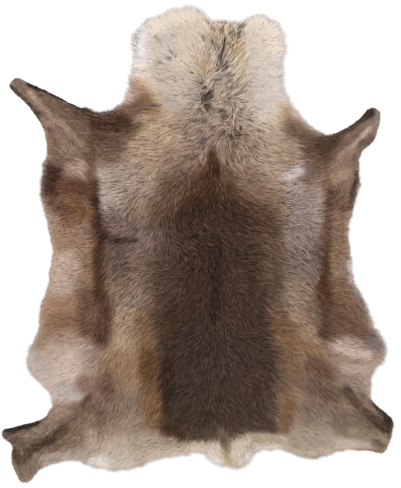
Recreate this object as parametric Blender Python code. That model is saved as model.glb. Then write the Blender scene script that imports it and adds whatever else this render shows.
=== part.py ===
"""A reindeer hide laid out flat, hair side up: one solid.

The hide is a lumpy slab of dense hair on its skin. Its outline is the union of a trunk, four
opened legs and rounded tufts. Locks of hair stand out from the rim wherever the coat is deep.

Frame: metres, +Z up. The hide lies on Z = 0 with its neck towards +Y, and the origin is on the
floor under the middle of the hide's box. The tables below are in millimetres.
"""

import math
from collections import namedtuple

import bmesh
import bpy
import numpy as np
from mathutils import Vector, noise
from mathutils.geometry import delaunay_2d_cdt

MM = 0.001

# Driving dimensions, in metres.
SKIN = 0.002  # thickness of the tanned skin
RIM_STEP = 0.0125  # between the points of the rim
FIELD_STEP = 0.019  # between the points of the hair's surface
CURVE_STEP = 0.008  # between the points that a part's outline is drawn through
RIM_SMOOTHINGS = 1  # passes that take the corners off where two parts meet
SETBACK_SMOOTHINGS = 6  # passes that fade the rim's setback out where the locks end

# The hair at the rim: the slab stands back from the outline, and locks reach out to it.
RIM_DEPTH = 0.34  # share of the coat's depth that the slab has at the rim
RIM_ROUND = 0.020  # how far in from the rim the coat comes up to its full depth
SHORT_COAT = 0.011  # a coat less deep than this has no locks and isn't set back
LOCK_REACH = 0.85  # a lock's length, as a share of the coat's depth there
LOCK_SETBACK = 0.7  # how far the slab stands back, as a share of a lock's length
LOCK_UNEVEN = 0.2  # how far a lock is longer or shorter than that, as a share of its length
LOCK_SWING = 0.2  # how far a lock's tip swings to either side, as a share of its length
LOCK_TURN = 1.9  # radians from one lock to the next in the waves of their length and swing
LOCK_TIP_LOW = 0.002  # a lock's tip above the floor
LOCK_TIP_HIGH = 0.006
LOCK_CLEAR = 0.72  # a tip stands at least this share of its length off the rest of the rim
TIP_GAP = 0.42  # tips stand at least this share of RIM_STEP apart

# Soft lumps in the coat, as it is lifted by combing and by folds in storage.
LUMPS = ((0.110, 0.0026), (0.050, 0.0022), (0.027, 0.0013))  # (size, height)

# One row a station of neck and trunk: its place along the back, and its left and right edge.
Station = namedtuple("Station", "y left right")
TRUNK = (
    Station(569, -157, 222),  # neck, between the tufts
    Station(519, -163, 228),
    Station(480, -160, 225),
    Station(441, -168, 222),
    Station(402, -176, 230),
    Station(376, -183, 241),
    Station(356, -211, 255),
    Station(335, -274, 275),  # shoulders, into the fore legs
    Station(311, -312, 297),
    Station(288, -352, 331),
    Station(265, -378, 384),
    Station(246, -386, 422),
    Station(220, -397, 421),
    Station(176, -403, 428),  # chest
    Station(142, -406, 419),
    Station(106, -401, 411),
    Station(77, -390, 403),
    Station(44, -383, 395),
    Station(5, -375, 398),  # belly
    Station(-27, -371, 403),
    Station(-55, -380, 404),
    Station(-97, -383, 411),
    Station(-123, -387, 428),
    Station(-154, -408, 444),
    Station(-196, -405, 456),
    Station(-237, -415, 481),
    Station(-266, -431, 497),
    Station(-292, -442, 495),  # folds of the flanks, before the hind legs
    Station(-315, -437, 463),
    Station(-336, -427, 455),
    Station(-354, -404, 451),
    Station(-372, -383, 446),
    Station(-393, -374, 450),
    Station(-417, -365, 445),  # haunches, into the hind legs
    Station(-456, -352, 428),
    Station(-495, -342, 412),
    Station(-528, -332, 397),  # rump
)

# One row a section of an opened leg, from the trunk to the hoof end: its middle and its width.
Section = namedtuple("Section", "x y width")
LEGS = {
    "left_fore": (
        Section(-310, 280, 190),
        Section(-338, 314, 135),
        Section(-359, 337, 100),
        Section(-384, 359, 79),
        Section(-411, 382, 61),
        Section(-438, 400, 48),
        Section(-463, 417, 41),
        Section(-482, 430, 40),
    ),
    "right_fore": (
        Section(350, 226, 113),
        Section(380, 250, 114),
        Section(396, 265, 83),
        Section(411, 279, 70),
        Section(433, 292, 74),
        Section(447, 315, 57),
        Section(459, 335, 46),
        Section(464, 361, 35),
    ),
    "left_hind": (
        Section(-280, -456, 190),
        Section(-328, -482, 144),
        Section(-370, -501, 125),
        Section(-414, -524, 113),
        Section(-440, -557, 91),
        Section(-444, -588, 55),
        Section(-449, -609, 32),
        Section(-451, -619, 20),
    ),
    "left_hind_toe": (
        Section(-425, -488, 64),
        Section(-465, -493, 47),
        Section(-492, -490, 32),
        Section(-509, -483, 20),
    ),
    "right_hind": (
        Section(384, -430, 208),
        Section(426, -456, 138),
        Section(455, -465, 109),
        Section(482, -475, 82),
        Section(502, -482, 75),
        Section(511, -484, 69),
    ),
    "right_hind_toe": (
        Section(397, -512, 42),
        Section(443, -519, 25),
        Section(496, -531, 26),
    ),
}

# One row a rounded tuft that widens the outline: its middle and its reach each way.
Tuft = namedtuple("Tuft", "x y reach_x reach_y")
TUFTS = {
    "neck_outer_left": Tuft(-101, 512, 61, 83),
    "neck_top_left": Tuft(-62, 548, 44, 67),
    "neck_left": Tuft(-25, 540, 72, 84),
    "neck_middle": Tuft(86, 520, 48, 67),
    "neck_right": Tuft(171, 532, 59, 71),
    "rump_outer_left": Tuft(-290, -520, 60, 42),
    "rump_left": Tuft(-208, -506, 132, 76),
    "rump_middle": Tuft(-62, -502, 80, 46),
    "rump_right": Tuft(301, -508, 69, 45),
    "tail_left": Tuft(63, -532, 37, 39),
    "tail_right": Tuft(104, -538, 40, 41),
    "tail_end": Tuft(115, -550, 28, 28),
}

# One row a place where the coat's depth is known. Between them it is a weighted mean.
Pile = namedtuple("Pile", "x y depth")
COAT = {
    "neck_left": Pile(-70, 520, 33),
    "neck_right": Pile(160, 500, 31),
    "nape": Pile(20, 400, 31),
    "withers": Pile(40, 250, 28),
    "back": Pile(40, 0, 26),
    "loin": Pile(40, -250, 27),
    "rump": Pile(40, -450, 28),
    "tail": Pile(90, -550, 20),
    "left_shoulder": Pile(-190, 210, 23),
    "right_shoulder": Pile(230, 220, 23),
    "left_flank": Pile(-190, -60, 24),
    "right_flank": Pile(260, -60, 24),
    "left_haunch": Pile(-200, -420, 22),
    "right_haunch": Pile(270, -420, 21),
    "left_belly": Pile(-335, 60, 13),
    "left_belly_back": Pile(-345, -150, 14),
    "right_belly": Pile(372, 40, 13),
    "right_belly_back": Pile(395, -150, 14),
    "left_fold": Pile(-380, -310, 18),
    "right_fold": Pile(430, -300, 18),
    "left_fore_knee": Pile(-375, 335, 8),
    "left_fore_hoof": Pile(-465, 410, 4),
    "right_fore_knee": Pile(405, 265, 8),
    "right_fore_hoof": Pile(455, 330, 4),
    "left_hock": Pile(-385, -510, 10),
    "left_hind_hoof": Pile(-455, -580, 5),
    "left_hind_toe": Pile(-490, -491, 4),
    "right_hock": Pile(435, -465, 10),
    "right_hind_hoof": Pile(492, -490, 5),
}

# One row a long fold: three places along it, its half width, and how far it rises or sinks.
Fold = namedtuple("Fold", "start middle end half_width rise")
FOLDS = {
    "left_flank_groove": Fold((-264, 215), (-250, 12), (-240, -280), 15, -9),
    "right_flank_groove": Fold((329, 185), (334, -14), (313, -265), 14, -9),
    "spine": Fold((50, 250), (46, 12), (43, -230), 13, -4),
    "left_parting": Fold((-250, 10), (-170, 22), (-85, 16), 10, -6),
    "neck_parting": Fold((64, 545), (60, 455), (16, 365), 16, -11),
    "nape_parting": Fold((18, 420), (10, 375), (40, 330), 13, -8),
    "left_neck_parting": Fold((-110, 520), (-75, 490), (-50, 480), 11, -6),
    "rump_edge": Fold((-110, -480), (20, -505), (190, -488), 16, -5),
    "left_fore_ridge": Fold((-455, 416), (-384, 355), (-293, 246), 12, 4),
    "right_fore_ridge": Fold((462, 325), (402, 250), (352, 155), 12, 4),
    "left_hind_ridge": Fold((-480, -525), (-375, -465), (-290, -400), 14, 4),
    "right_hind_ridge": Fold((485, -470), (415, -405), (370, -340), 14, 4),
}

COAT_COLOUR = (0.145, 0.088, 0.056, 1.0)
COAT_ROUGHNESS = 0.8


def through(rows, parts):
    """A smooth curve through the rows' numbers (Catmull-Rom), with that many steps in each span."""
    p = np.array(rows, float)
    p = np.vstack((2 * p[0] - p[1], p, 2 * p[-1] - p[-2]))
    t = np.linspace(0, 1, parts, endpoint=False)[:, None]
    spans = [
        0.5 * (2 * b + (c - a) * t + (2 * a - 5 * b + 4 * c - d) * t**2 + (3 * b - a - 3 * c + d) * t**3)
        for a, b, c, d in zip(p, p[1:], p[2:], p[3:])
    ]
    return np.vstack(spans + [p[-2:-1]])


def spaced(loop, step):
    """The closed loop again, with points about step apart, starting at its first point."""
    ring = np.vstack((loop, loop[:1]))
    along = np.concatenate(([0], np.cumsum(np.linalg.norm(np.diff(ring, axis=0), axis=1))))
    places = np.linspace(0, along[-1], round(along[-1] / step), endpoint=False)
    return np.column_stack([np.interp(places, along, ring[:, k]) for k in (0, 1)])


def trunk_outline():
    """The left edges from neck to rump, then the right edges back up."""
    rows = through(TRUNK, 4) * MM
    left = rows[:, [1, 0]]
    right = rows[::-1, [2, 0]]
    return spaced(np.vstack((left, right)), CURVE_STEP)


def leg_outline(sections):
    """Half the width to each side of the leg's middle line."""
    rows = through(sections, 6) * MM
    middle = rows[:, :2]
    half = rows[:, 2:] / 2
    way = np.gradient(middle, axis=0)
    way /= np.linalg.norm(way, axis=1, keepdims=True)
    across = np.column_stack((-way[:, 1], way[:, 0]))
    return spaced(np.vstack((middle + across * half, (middle - across * half)[::-1])), CURVE_STEP)


def tuft_outline(tuft):
    """An upright ellipse."""
    x, y, reach_x, reach_y = (value * MM for value in tuft)
    turns = np.linspace(0, 2 * math.pi, 120, endpoint=False)
    ellipse = np.column_stack((x + reach_x * np.cos(turns), y + reach_y * np.sin(turns)))
    return spaced(ellipse, CURVE_STEP)


def triangulated(loops, field=()):
    """(points, triangles inside the loops' union) of a Delaunay mesh that keeps to the loops."""
    points = [Vector(p) for loop in loops for p in loop] + [Vector(p) for p in field]
    faces = []
    start = 0
    for loop in loops:
        faces.append(list(range(start, start + len(loop))))
        start += len(loop)
    inside_only = 1
    found = delaunay_2d_cdt(points, [], faces, inside_only, 1e-6)
    return np.array([tuple(p) for p in found[0]]), [tuple(face) for face in found[2]]


def rim_of(triangles):
    """The longest closed chain of edges that only one triangle has, in order."""
    edges = dict.fromkeys((a, b) for face in triangles for a, b in zip(face, face[1:] + face[:1]))
    after = {a: b for a, b in edges if (b, a) not in edges}
    longest = []
    while after:
        chain = [next(iter(after))]
        while chain[-1] in after:
            chain.append(after.pop(chain[-1]))
        longest = max(longest, chain[:-1], key=len)
    return longest


def smoothed(loop, passes):
    for _ in range(passes):
        loop = (np.roll(loop, 1, axis=0) + 2 * loop + np.roll(loop, -1, axis=0)) / 4
    return loop


def hide_outline():
    """The outer reach of the coat: the union of trunk, legs and tufts, anticlockwise."""
    parts = [trunk_outline()]
    parts += [leg_outline(sections) for sections in LEGS.values()]
    parts += [tuft_outline(tuft) for tuft in TUFTS.values()]
    points, triangles = triangulated(parts)
    return smoothed(spaced(points[rim_of(triangles)], RIM_STEP), RIM_SMOOTHINGS)


def outward(loop):
    """The way out of an anticlockwise loop, at each of its points."""
    way = np.roll(loop, -1, axis=0) - np.roll(loop, 1, axis=0)
    way /= np.linalg.norm(way, axis=1, keepdims=True)
    return np.column_stack((way[:, 1], -way[:, 0]))


def coat_depth(places):
    """The depth of the coat: a mean of COAT's rows, weighted by one over distance cubed."""
    rows = np.array(list(COAT.values()), float) * MM
    apart = np.linalg.norm(places[:, None] - rows[None, :, :2], axis=2)
    weight = 1 / (apart + 0.01) ** 3
    return weight @ rows[:, 2] / weight.sum(axis=1)


def off_line(places, line):
    """Each place's distance from a line of points."""
    a, b = line[:-1], line[1:]
    run = b - a
    share = ((places[:, None] - a) * run).sum(2) / (run**2).sum(1)
    nearest = a + np.clip(share, 0, 1)[..., None] * run
    return np.linalg.norm(places[:, None] - nearest, axis=2).min(axis=1)


def fold_rise(places):
    """The folds' rises and sinks, each fading out as a bell curve across its line."""
    total = np.zeros(len(places))
    for fold in FOLDS.values():
        line = through((fold.start, fold.middle, fold.end), 8) * MM
        total += fold.rise * MM * np.exp(-((off_line(places, line) / (fold.half_width * MM)) ** 2))
    return total


def lumps(places):
    """Soft noise of a few sizes."""
    total = np.zeros(len(places))
    for size, height in LUMPS:
        total += [height * noise.noise(Vector((x / size, y / size, size))) for x, y in places]
    return total


def coat_top(places, rim):
    """The height of the coat's surface: shallow at the rim, rounding up to the coat's depth."""
    depth = coat_depth(places)
    inward = off_line(places, np.vstack((rim, rim[:1])))
    share = RIM_DEPTH + (1 - RIM_DEPTH) * (1 - np.exp(-inward / RIM_ROUND))
    relief = (fold_rise(places) + lumps(places)) * np.minimum(1, depth / (20 * MM)) * share
    return SKIN + np.maximum(depth * share + relief, 0.4 * depth * share)


def inside(places, loop):
    """Which places lie inside the loop, by counting the edges that a ray to +X crosses."""
    a, b = loop, np.roll(loop, -1, axis=0)
    x, y = places[:, :1], places[:, 1:]
    spans = (a[:, 1] > y) != (b[:, 1] > y)
    rise = np.where(a[:, 1] == b[:, 1], 1, b[:, 1] - a[:, 1])
    crossing = a[:, 0] + (y - a[:, 1]) * (b[:, 0] - a[:, 0]) / rise
    return (spans & (x < crossing)).sum(axis=1) % 2 == 1


def field_of(rim):
    """A triangular lattice of points inside the rim, clear of it."""
    low, high = rim.min(axis=0), rim.max(axis=0)
    row_step = FIELD_STEP * math.sqrt(3) / 2
    rows = np.arange(low[1], high[1], row_step)
    columns = np.arange(low[0], high[0], FIELD_STEP)
    places = np.array([(x + (k % 2) * FIELD_STEP / 2, y) for k, y in enumerate(rows) for x in columns])
    places = places[inside(places, rim)]
    return places[off_line(places, np.vstack((rim, rim[:1]))) > 0.6 * RIM_STEP]


def lock_tips(rim, lengths):
    """{rim edge: its lock's tip in plan}, leaving out tips that crowd each other or the rim."""
    ring = np.vstack((rim, rim[:1]))
    ways = outward(rim)
    middles = (rim + np.roll(rim, -1, axis=0)) / 2
    ways = ways + np.roll(ways, -1, axis=0)
    ways /= np.linalg.norm(ways, axis=1, keepdims=True)
    turns = LOCK_TURN * np.arange(len(rim))
    uneven = lengths * (1 + LOCK_UNEVEN * np.sin(turns))
    swings = LOCK_SWING * np.cos(0.6 * turns)
    tips = {}
    last = None
    for k, length in enumerate(uneven):
        if length == 0:
            continue
        side = np.array((-ways[k][1], ways[k][0]))
        tip = middles[k] + length * (ways[k] + swings[k] * side)
        crowded = last is not None and np.linalg.norm(tip - last) < TIP_GAP * RIM_STEP
        if crowded or off_line(tip[None], ring)[0] < LOCK_CLEAR * length:
            continue
        tips[k] = tip
        last = tip
    return tips


def hide_mesh():
    """The closed slab: floor, skin edge, hair wall with its locks, and the coat's surface."""
    outline = hide_outline()
    depth = coat_depth(outline)
    lengths = np.where(depth > SHORT_COAT, LOCK_REACH * depth, 0)
    setback = smoothed(LOCK_SETBACK * lengths, SETBACK_SMOOTHINGS)
    rim = outline - outward(outline) * setback[:, None]
    rim = smoothed(rim, RIM_SMOOTHINGS)
    field = field_of(rim)
    top_points, top_faces = triangulated([rim], field)
    _, floor_faces = triangulated([rim])
    heights = coat_top(top_points, rim)

    mesh = bmesh.new()
    floor = [mesh.verts.new((x, y, 0)) for x, y in rim]
    skin = [mesh.verts.new((x, y, SKIN)) for x, y in rim]
    top = [mesh.verts.new((x, y, z)) for (x, y), z in zip(top_points, heights)]
    for face in top_faces:
        mesh.faces.new([top[k] for k in face])
    for face in floor_faces:
        mesh.faces.new([floor[k] for k in reversed(face)])
    hair_walls = []
    for k in range(len(rim)):
        n = (k + 1) % len(rim)
        mesh.faces.new((floor[k], floor[n], skin[n], skin[k]))
        hair_walls.append(mesh.faces.new((skin[k], skin[n], top[n], top[k])))
    tip_heights = np.linspace(LOCK_TIP_LOW, LOCK_TIP_HIGH, 5)
    for k, (x, y) in lock_tips(rim, lengths).items():
        made = bmesh.ops.poke(mesh, faces=[hair_walls[k]])
        made["verts"][0].co = (x, y, tip_heights[(3 * k) % 5])
    bmesh.ops.recalc_face_normals(mesh, faces=mesh.faces)
    return mesh


def centred(mesh):
    """The mesh moved so that its box's middle is over the origin."""
    corners = np.array([vert.co for vert in mesh.verts])
    middle = (corners.min(axis=0) + corners.max(axis=0)) / 2
    bmesh.ops.translate(mesh, verts=mesh.verts, vec=(-middle[0], -middle[1], 0))
    return mesh


def coat_material():
    material = bpy.data.materials.new("coat")
    material.use_nodes = True
    shader = material.node_tree.nodes["Principled BSDF"]
    shader.inputs["Base Color"].default_value = COAT_COLOUR
    shader.inputs["Roughness"].default_value = COAT_ROUGHNESS
    shader.inputs["Metallic"].default_value = 0.0
    return material


def main():
    for old in list(bpy.data.objects):
        bpy.data.objects.remove(old)
    mesh = centred(hide_mesh())
    data = bpy.data.meshes.new("hide")
    mesh.to_mesh(data)
    mesh.free()
    data.shade_smooth()
    data.set_sharp_from_angle(angle=math.radians(50))
    data.materials.append(coat_material())
    hide = bpy.data.objects.new("hide", data)
    bpy.context.scene.collection.objects.link(hide)


main()
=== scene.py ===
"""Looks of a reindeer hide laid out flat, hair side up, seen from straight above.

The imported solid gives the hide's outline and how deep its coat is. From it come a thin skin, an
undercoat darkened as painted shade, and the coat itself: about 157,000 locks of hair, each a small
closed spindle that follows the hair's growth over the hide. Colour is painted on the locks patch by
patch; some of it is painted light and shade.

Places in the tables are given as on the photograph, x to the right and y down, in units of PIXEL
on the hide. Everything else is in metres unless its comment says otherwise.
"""

import math
from collections import namedtuple

import bpy
import numpy as np
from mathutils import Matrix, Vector
from mathutils.geometry import delaunay_2d_cdt


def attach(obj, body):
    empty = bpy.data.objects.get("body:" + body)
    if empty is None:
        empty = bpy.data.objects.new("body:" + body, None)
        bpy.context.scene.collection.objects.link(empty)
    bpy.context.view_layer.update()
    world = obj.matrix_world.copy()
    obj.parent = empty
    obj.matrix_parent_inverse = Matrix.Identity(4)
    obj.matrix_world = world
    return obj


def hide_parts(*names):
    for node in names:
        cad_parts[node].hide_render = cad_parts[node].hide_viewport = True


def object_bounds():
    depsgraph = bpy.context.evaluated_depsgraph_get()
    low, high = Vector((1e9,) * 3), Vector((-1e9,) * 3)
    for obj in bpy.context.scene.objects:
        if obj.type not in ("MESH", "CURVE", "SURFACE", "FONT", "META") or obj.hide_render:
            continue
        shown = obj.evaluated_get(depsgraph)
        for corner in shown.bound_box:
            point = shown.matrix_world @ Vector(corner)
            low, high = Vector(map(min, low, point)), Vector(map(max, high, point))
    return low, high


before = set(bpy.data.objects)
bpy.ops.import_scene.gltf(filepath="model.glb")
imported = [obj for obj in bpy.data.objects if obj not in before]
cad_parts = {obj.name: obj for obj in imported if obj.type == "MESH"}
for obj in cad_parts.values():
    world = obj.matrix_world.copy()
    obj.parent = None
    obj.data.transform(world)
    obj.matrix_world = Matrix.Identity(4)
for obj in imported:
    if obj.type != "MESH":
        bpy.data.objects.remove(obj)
cad_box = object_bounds()

MM = 0.001
PIXEL = 0.0026  # a unit of the tables, on the hide
MIDDLE = (197.44, 242.76)  # the place in the tables that lies over the origin
PHOTO = (401, 488)  # the photograph's width and height, in the same units

# ---------------------------------------------------------------- tables

# How the hair grows: a place, the way its tips point, in degrees anticlockwise from the right,
# and its length in millimetres.
Growth = namedtuple("Growth", "place x y heading length")
GROWTH = [Growth(*row) for row in (
    ("neck_left_crown", 178, 8, 110, 34),
    ("neck_left_top", 197, 18, 112, 32),
    ("neck_left_corner", 150, 25, 140, 36),
    ("neck_left_edge", 140, 45, 150, 38),
    ("neck_left_side", 138, 70, 170, 36),
    ("neck_left_middle", 165, 40, 142, 34),
    ("neck_left_inner", 190, 42, 138, 32),
    ("neck_left_hollow", 186, 60, 148, 32),
    ("neck_left_lower", 160, 74, 170, 34),
    ("neck_left_low", 190, 76, 160, 30),
    ("neck_left_base", 180, 92, 182, 32),
    ("nape_left", 150, 106, 174, 30),
    ("nape_left_inner", 182, 110, 188, 30),
    ("notch_left", 207, 30, 98, 28),
    ("notch_middle", 218, 30, 84, 30),
    ("notch_right", 238, 30, 62, 32),
    ("notch_hollow", 224, 48, 74, 28),
    ("notch_hollow_right", 238, 48, 56, 30),
    ("neck_parting_left", 208, 58, 78, 26),
    ("neck_parting_right", 232, 66, 44, 28),
    ("neck_middle", 216, 74, 34, 26),
    ("whorl_left", 196, 96, 186, 26),
    ("whorl_foot", 203, 110, 220, 24),
    ("whorl_right", 214, 92, 36, 26),
    ("whorl_right_low", 216, 104, 12, 24),
    ("neck_low", 230, 92, 38, 28),
    ("neck_low_right", 242, 88, 50, 30),
    ("neck_right_crown", 262, 14, 82, 34),
    ("neck_right_corner", 280, 26, 30, 36),
    ("neck_right_edge", 283, 52, 8, 38),
    ("neck_right_side", 281, 78, 2, 36),
    ("neck_right_middle", 262, 44, 20, 34),
    ("neck_right_inner", 248, 58, 38, 32),
    ("neck_right_lower", 262, 80, 12, 34),
    ("neck_right_base", 258, 102, 2, 32),
    ("nape_right", 280, 98, 350, 30),
    ("nape_right_near", 244, 108, 28, 26),
    ("nape_right_inner", 254, 120, 330, 28),
    ("nape_right_low", 274, 122, 334, 28),
    ("shoulder_point_right", 292, 118, 325, 24),
    ("nape_parting", 224, 110, 202, 24),
    ("nape_parting_right", 234, 108, 288, 22),
    ("withers_left", 193, 124, 212, 28),
    ("withers_left_outer", 172, 128, 186, 28),
    ("withers_middle", 210, 126, 205, 24),
    ("withers_curl_left", 226, 130, 210, 22),
    ("withers_curl_right", 240, 132, 332, 22),
    ("withers_low", 222, 142, 228, 24),
    ("withers_low_left", 200, 140, 216, 26),
    ("withers_low_right", 240, 146, 318, 24),
    ("shoulder_right", 256, 142, 325, 26),
    ("shoulder_right_middle", 278, 146, 338, 26),
    ("shoulder_right_outer", 300, 144, 345, 22),
    ("shoulder_right_low", 262, 166, 345, 26),
    ("armpit_right", 296, 164, 358, 24),
    ("shoulder_left_inner", 182, 148, 204, 26),
    ("shoulder_left", 160, 146, 190, 26),
    ("shoulder_left_outer", 136, 142, 176, 26),
    ("armpit_left", 118, 156, 182, 24),
    ("back_top_left", 166, 170, 212, 24),
    ("back_top_left_inner", 190, 162, 230, 24),
    ("shoulder_left_low", 142, 176, 202, 26),
    ("flank_top_left", 118, 184, 184, 24),
    ("spine_top_left", 198, 176, 246, 22),
    ("spine_top", 212, 168, 268, 22),
    ("spine_top_right", 226, 162, 285, 22),
    ("back_top_right", 240, 166, 314, 24),
    ("back_top_right_low", 244, 186, 322, 24),
    ("back_right", 262, 190, 350, 24),
    ("arm_left_root", 118, 118, 182, 20),
    ("arm_left_top", 100, 116, 168, 16),
    ("arm_left_bottom", 96, 132, 164, 13),
    ("arm_left_upper", 72, 116, 154, 9),
    ("arm_left_middle", 50, 106, 146, 9),
    ("arm_left_low", 25, 90, 138, 8),
    ("arm_left_end", 14, 82, 131, 6),
    ("arm_left_under", 54, 132, 126, 11),
    ("arm_left_fold", 76, 144, 138, 13),
    ("arm_left_belly", 60, 164, 158, 16),
    ("arm_left_pit", 88, 174, 140, 16),
    ("belly_left_1", 50, 184, 205, 18),
    ("belly_left_2", 68, 190, 172, 16),
    ("belly_left_3", 52, 210, 214, 17),
    ("belly_left_4", 74, 212, 178, 15),
    ("belly_left_5", 56, 240, 186, 16),
    ("belly_left_6", 76, 250, 182, 15),
    ("belly_left_7", 58, 276, 172, 16),
    ("belly_left_8", 60, 304, 184, 16),
    ("belly_left_9", 76, 310, 176, 16),
    ("belly_left_10", 56, 330, 186, 18),
    ("groove_left_top", 92, 200, 140, 16),
    ("groove_left_middle", 98, 252, 226, 20),
    ("groove_left_low", 100, 312, 240, 20),
    ("haunch_left_1", 78, 346, 212, 22),
    ("haunch_left_2", 42, 356, 210, 24),
    ("haunch_left_3", 60, 372, 205, 22),
    ("haunch_left_4", 74, 394, 222, 20),
    ("flank_left_1", 112, 204, 190, 22),
    ("flank_left_2", 134, 206, 230, 22),
    ("flank_left_3", 120, 238, 196, 22),
    ("flank_left_4", 146, 238, 218, 22),
    ("flank_left_5", 114, 272, 228, 22),
    ("flank_left_6", 146, 264, 204, 22),
    ("flank_left_7", 134, 290, 222, 22),
    ("flank_left_8", 122, 318, 228, 22),
    ("flank_left_9", 112, 346, 238, 23),
    ("flank_left_10", 138, 346, 230, 23),
    ("flank_left_11", 120, 380, 234, 22),
    ("flank_left_12", 150, 378, 228, 23),
    ("flank_left_13", 134, 404, 250, 22),
    ("flank_left_14", 106, 410, 230, 20),
    ("leg_left_root", 84, 414, 228, 14),
    ("leg_left_upper", 56, 428, 215, 10),
    ("leg_left_low", 28, 438, 196, 8),
    ("leg_left_end", 12, 434, 190, 6),
    ("leg_left_toe", 22, 456, 265, 8),
    ("leg_left_toe_end", 25, 476, 290, 6),
    ("leg_left_under", 52, 452, 216, 12),
    ("rump_left_edge", 80, 448, 222, 14),
    ("rump_left_1", 100, 444, 242, 18),
    ("rump_left_2", 124, 448, 240, 19),
    ("rump_left_3", 148, 444, 204, 17),
    ("rump_left_4", 170, 446, 194, 15),
    ("rump_middle", 194, 444, 276, 15),
    ("rump_left_top", 150, 424, 206, 22),
    ("tail_left", 213, 455, 300, 24),
    ("tail_middle", 228, 452, 290, 24),
    ("tail_right", 242, 452, 280, 24),
    ("rump_right_1", 262, 438, 330, 15),
    ("rump_right_2", 288, 438, 344, 17),
    ("rump_right_3", 312, 444, 322, 17),
    ("saddle_1", 214, 196, 262, 22),
    ("saddle_2", 190, 204, 246, 21),
    ("saddle_3", 158, 204, 232, 22),
    ("saddle_4", 228, 210, 314, 21),
    ("saddle_5", 172, 226, 284, 19),
    ("saddle_6", 186, 246, 320, 18),
    ("saddle_7", 208, 240, 334, 18),
    ("saddle_8", 232, 234, 334, 20),
    ("saddle_9", 252, 228, 328, 22),
    ("saddle_10", 266, 212, 348, 22),
    ("saddle_11", 250, 252, 346, 20),
    ("saddle_12", 214, 266, 282, 18),
    ("saddle_13", 194, 270, 228, 19),
    ("saddle_14", 168, 272, 198, 20),
    ("saddle_15", 252, 276, 352, 20),
    ("saddle_16", 232, 284, 312, 20),
    ("saddle_17", 272, 262, 338, 22),
    ("saddle_18", 214, 300, 268, 19),
    ("saddle_19", 192, 300, 238, 20),
    ("saddle_20", 168, 304, 210, 21),
    ("saddle_21", 236, 314, 318, 20),
    ("saddle_22", 262, 304, 338, 21),
    ("saddle_23", 266, 334, 354, 21),
    ("saddle_24", 184, 328, 208, 20),
    ("saddle_25", 214, 336, 278, 20),
    ("saddle_26", 192, 352, 240, 21),
    ("saddle_27", 164, 348, 226, 22),
    ("saddle_28", 236, 352, 312, 21),
    ("saddle_29", 262, 366, 326, 22),
    ("saddle_30", 212, 376, 266, 21),
    ("saddle_31", 184, 382, 228, 21),
    ("saddle_32", 236, 388, 308, 21),
    ("saddle_33", 176, 412, 222, 20),
    ("saddle_34", 202, 410, 268, 20),
    ("saddle_35", 222, 414, 286, 20),
    ("saddle_36", 250, 410, 314, 20),
    ("saddle_37", 272, 404, 304, 21),
    ("flank_right_1", 300, 190, 5, 22),
    ("flank_right_2", 296, 216, 348, 22),
    ("flank_right_3", 308, 236, 330, 22),
    ("flank_right_4", 288, 252, 330, 22),
    ("flank_right_5", 306, 272, 320, 22),
    ("flank_right_6", 284, 284, 334, 22),
    ("flank_right_7", 302, 306, 325, 22),
    ("flank_right_8", 286, 328, 330, 22),
    ("flank_right_9", 310, 338, 326, 21),
    ("flank_right_10", 280, 346, 346, 22),
    ("flank_right_11", 300, 366, 308, 22),
    ("flank_right_12", 324, 372, 314, 21),
    ("flank_right_13", 292, 396, 306, 22),
    ("flank_right_14", 318, 402, 312, 20),
    ("flank_right_15", 292, 420, 322, 20),
    ("flank_right_16", 334, 414, 318, 16),
    ("flank_right_17", 342, 394, 324, 16),
    ("groove_right_top", 326, 200, 10, 16),
    ("groove_right_low", 324, 262, 325, 18),
    ("belly_right_1", 338, 204, 20, 15),
    ("belly_right_2", 340, 246, 4, 14),
    ("belly_right_3", 342, 280, 352, 15),
    ("belly_right_4", 338, 312, 336, 17),
    ("belly_right_5", 358, 306, 304, 19),
    ("haunch_right_1", 346, 338, 346, 22),
    ("haunch_right_2", 376, 342, 341, 25),
    ("haunch_right_3", 368, 360, 352, 23),
    ("haunch_right_4", 348, 374, 350, 18),
    ("haunch_right_5", 362, 384, 342, 17),
    ("leg_right_root", 358, 408, 324, 12),
    ("leg_right_low", 380, 418, 318, 8),
    ("leg_right_end", 389, 428, 306, 6),
    ("leg_right_under", 376, 440, 345, 7),
    ("leg_right_toe", 368, 446, 350, 7),
    ("leg_right_hock", 342, 440, 322, 13),
    ("arm_right_root", 312, 142, 352, 15),
    ("arm_right_upper", 332, 148, 22, 11),
    ("arm_right_middle", 350, 136, 38, 10),
    ("arm_right_low", 370, 122, 52, 8),
    ("arm_right_end", 378, 114, 50, 6),
    ("arm_right_under", 362, 144, 52, 8),
    ("arm_right_fold", 346, 160, 42, 12),
    ("arm_right_belly", 338, 180, 34, 14),
    ("arm_right_edge", 356, 184, 60, 16),
)]
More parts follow.
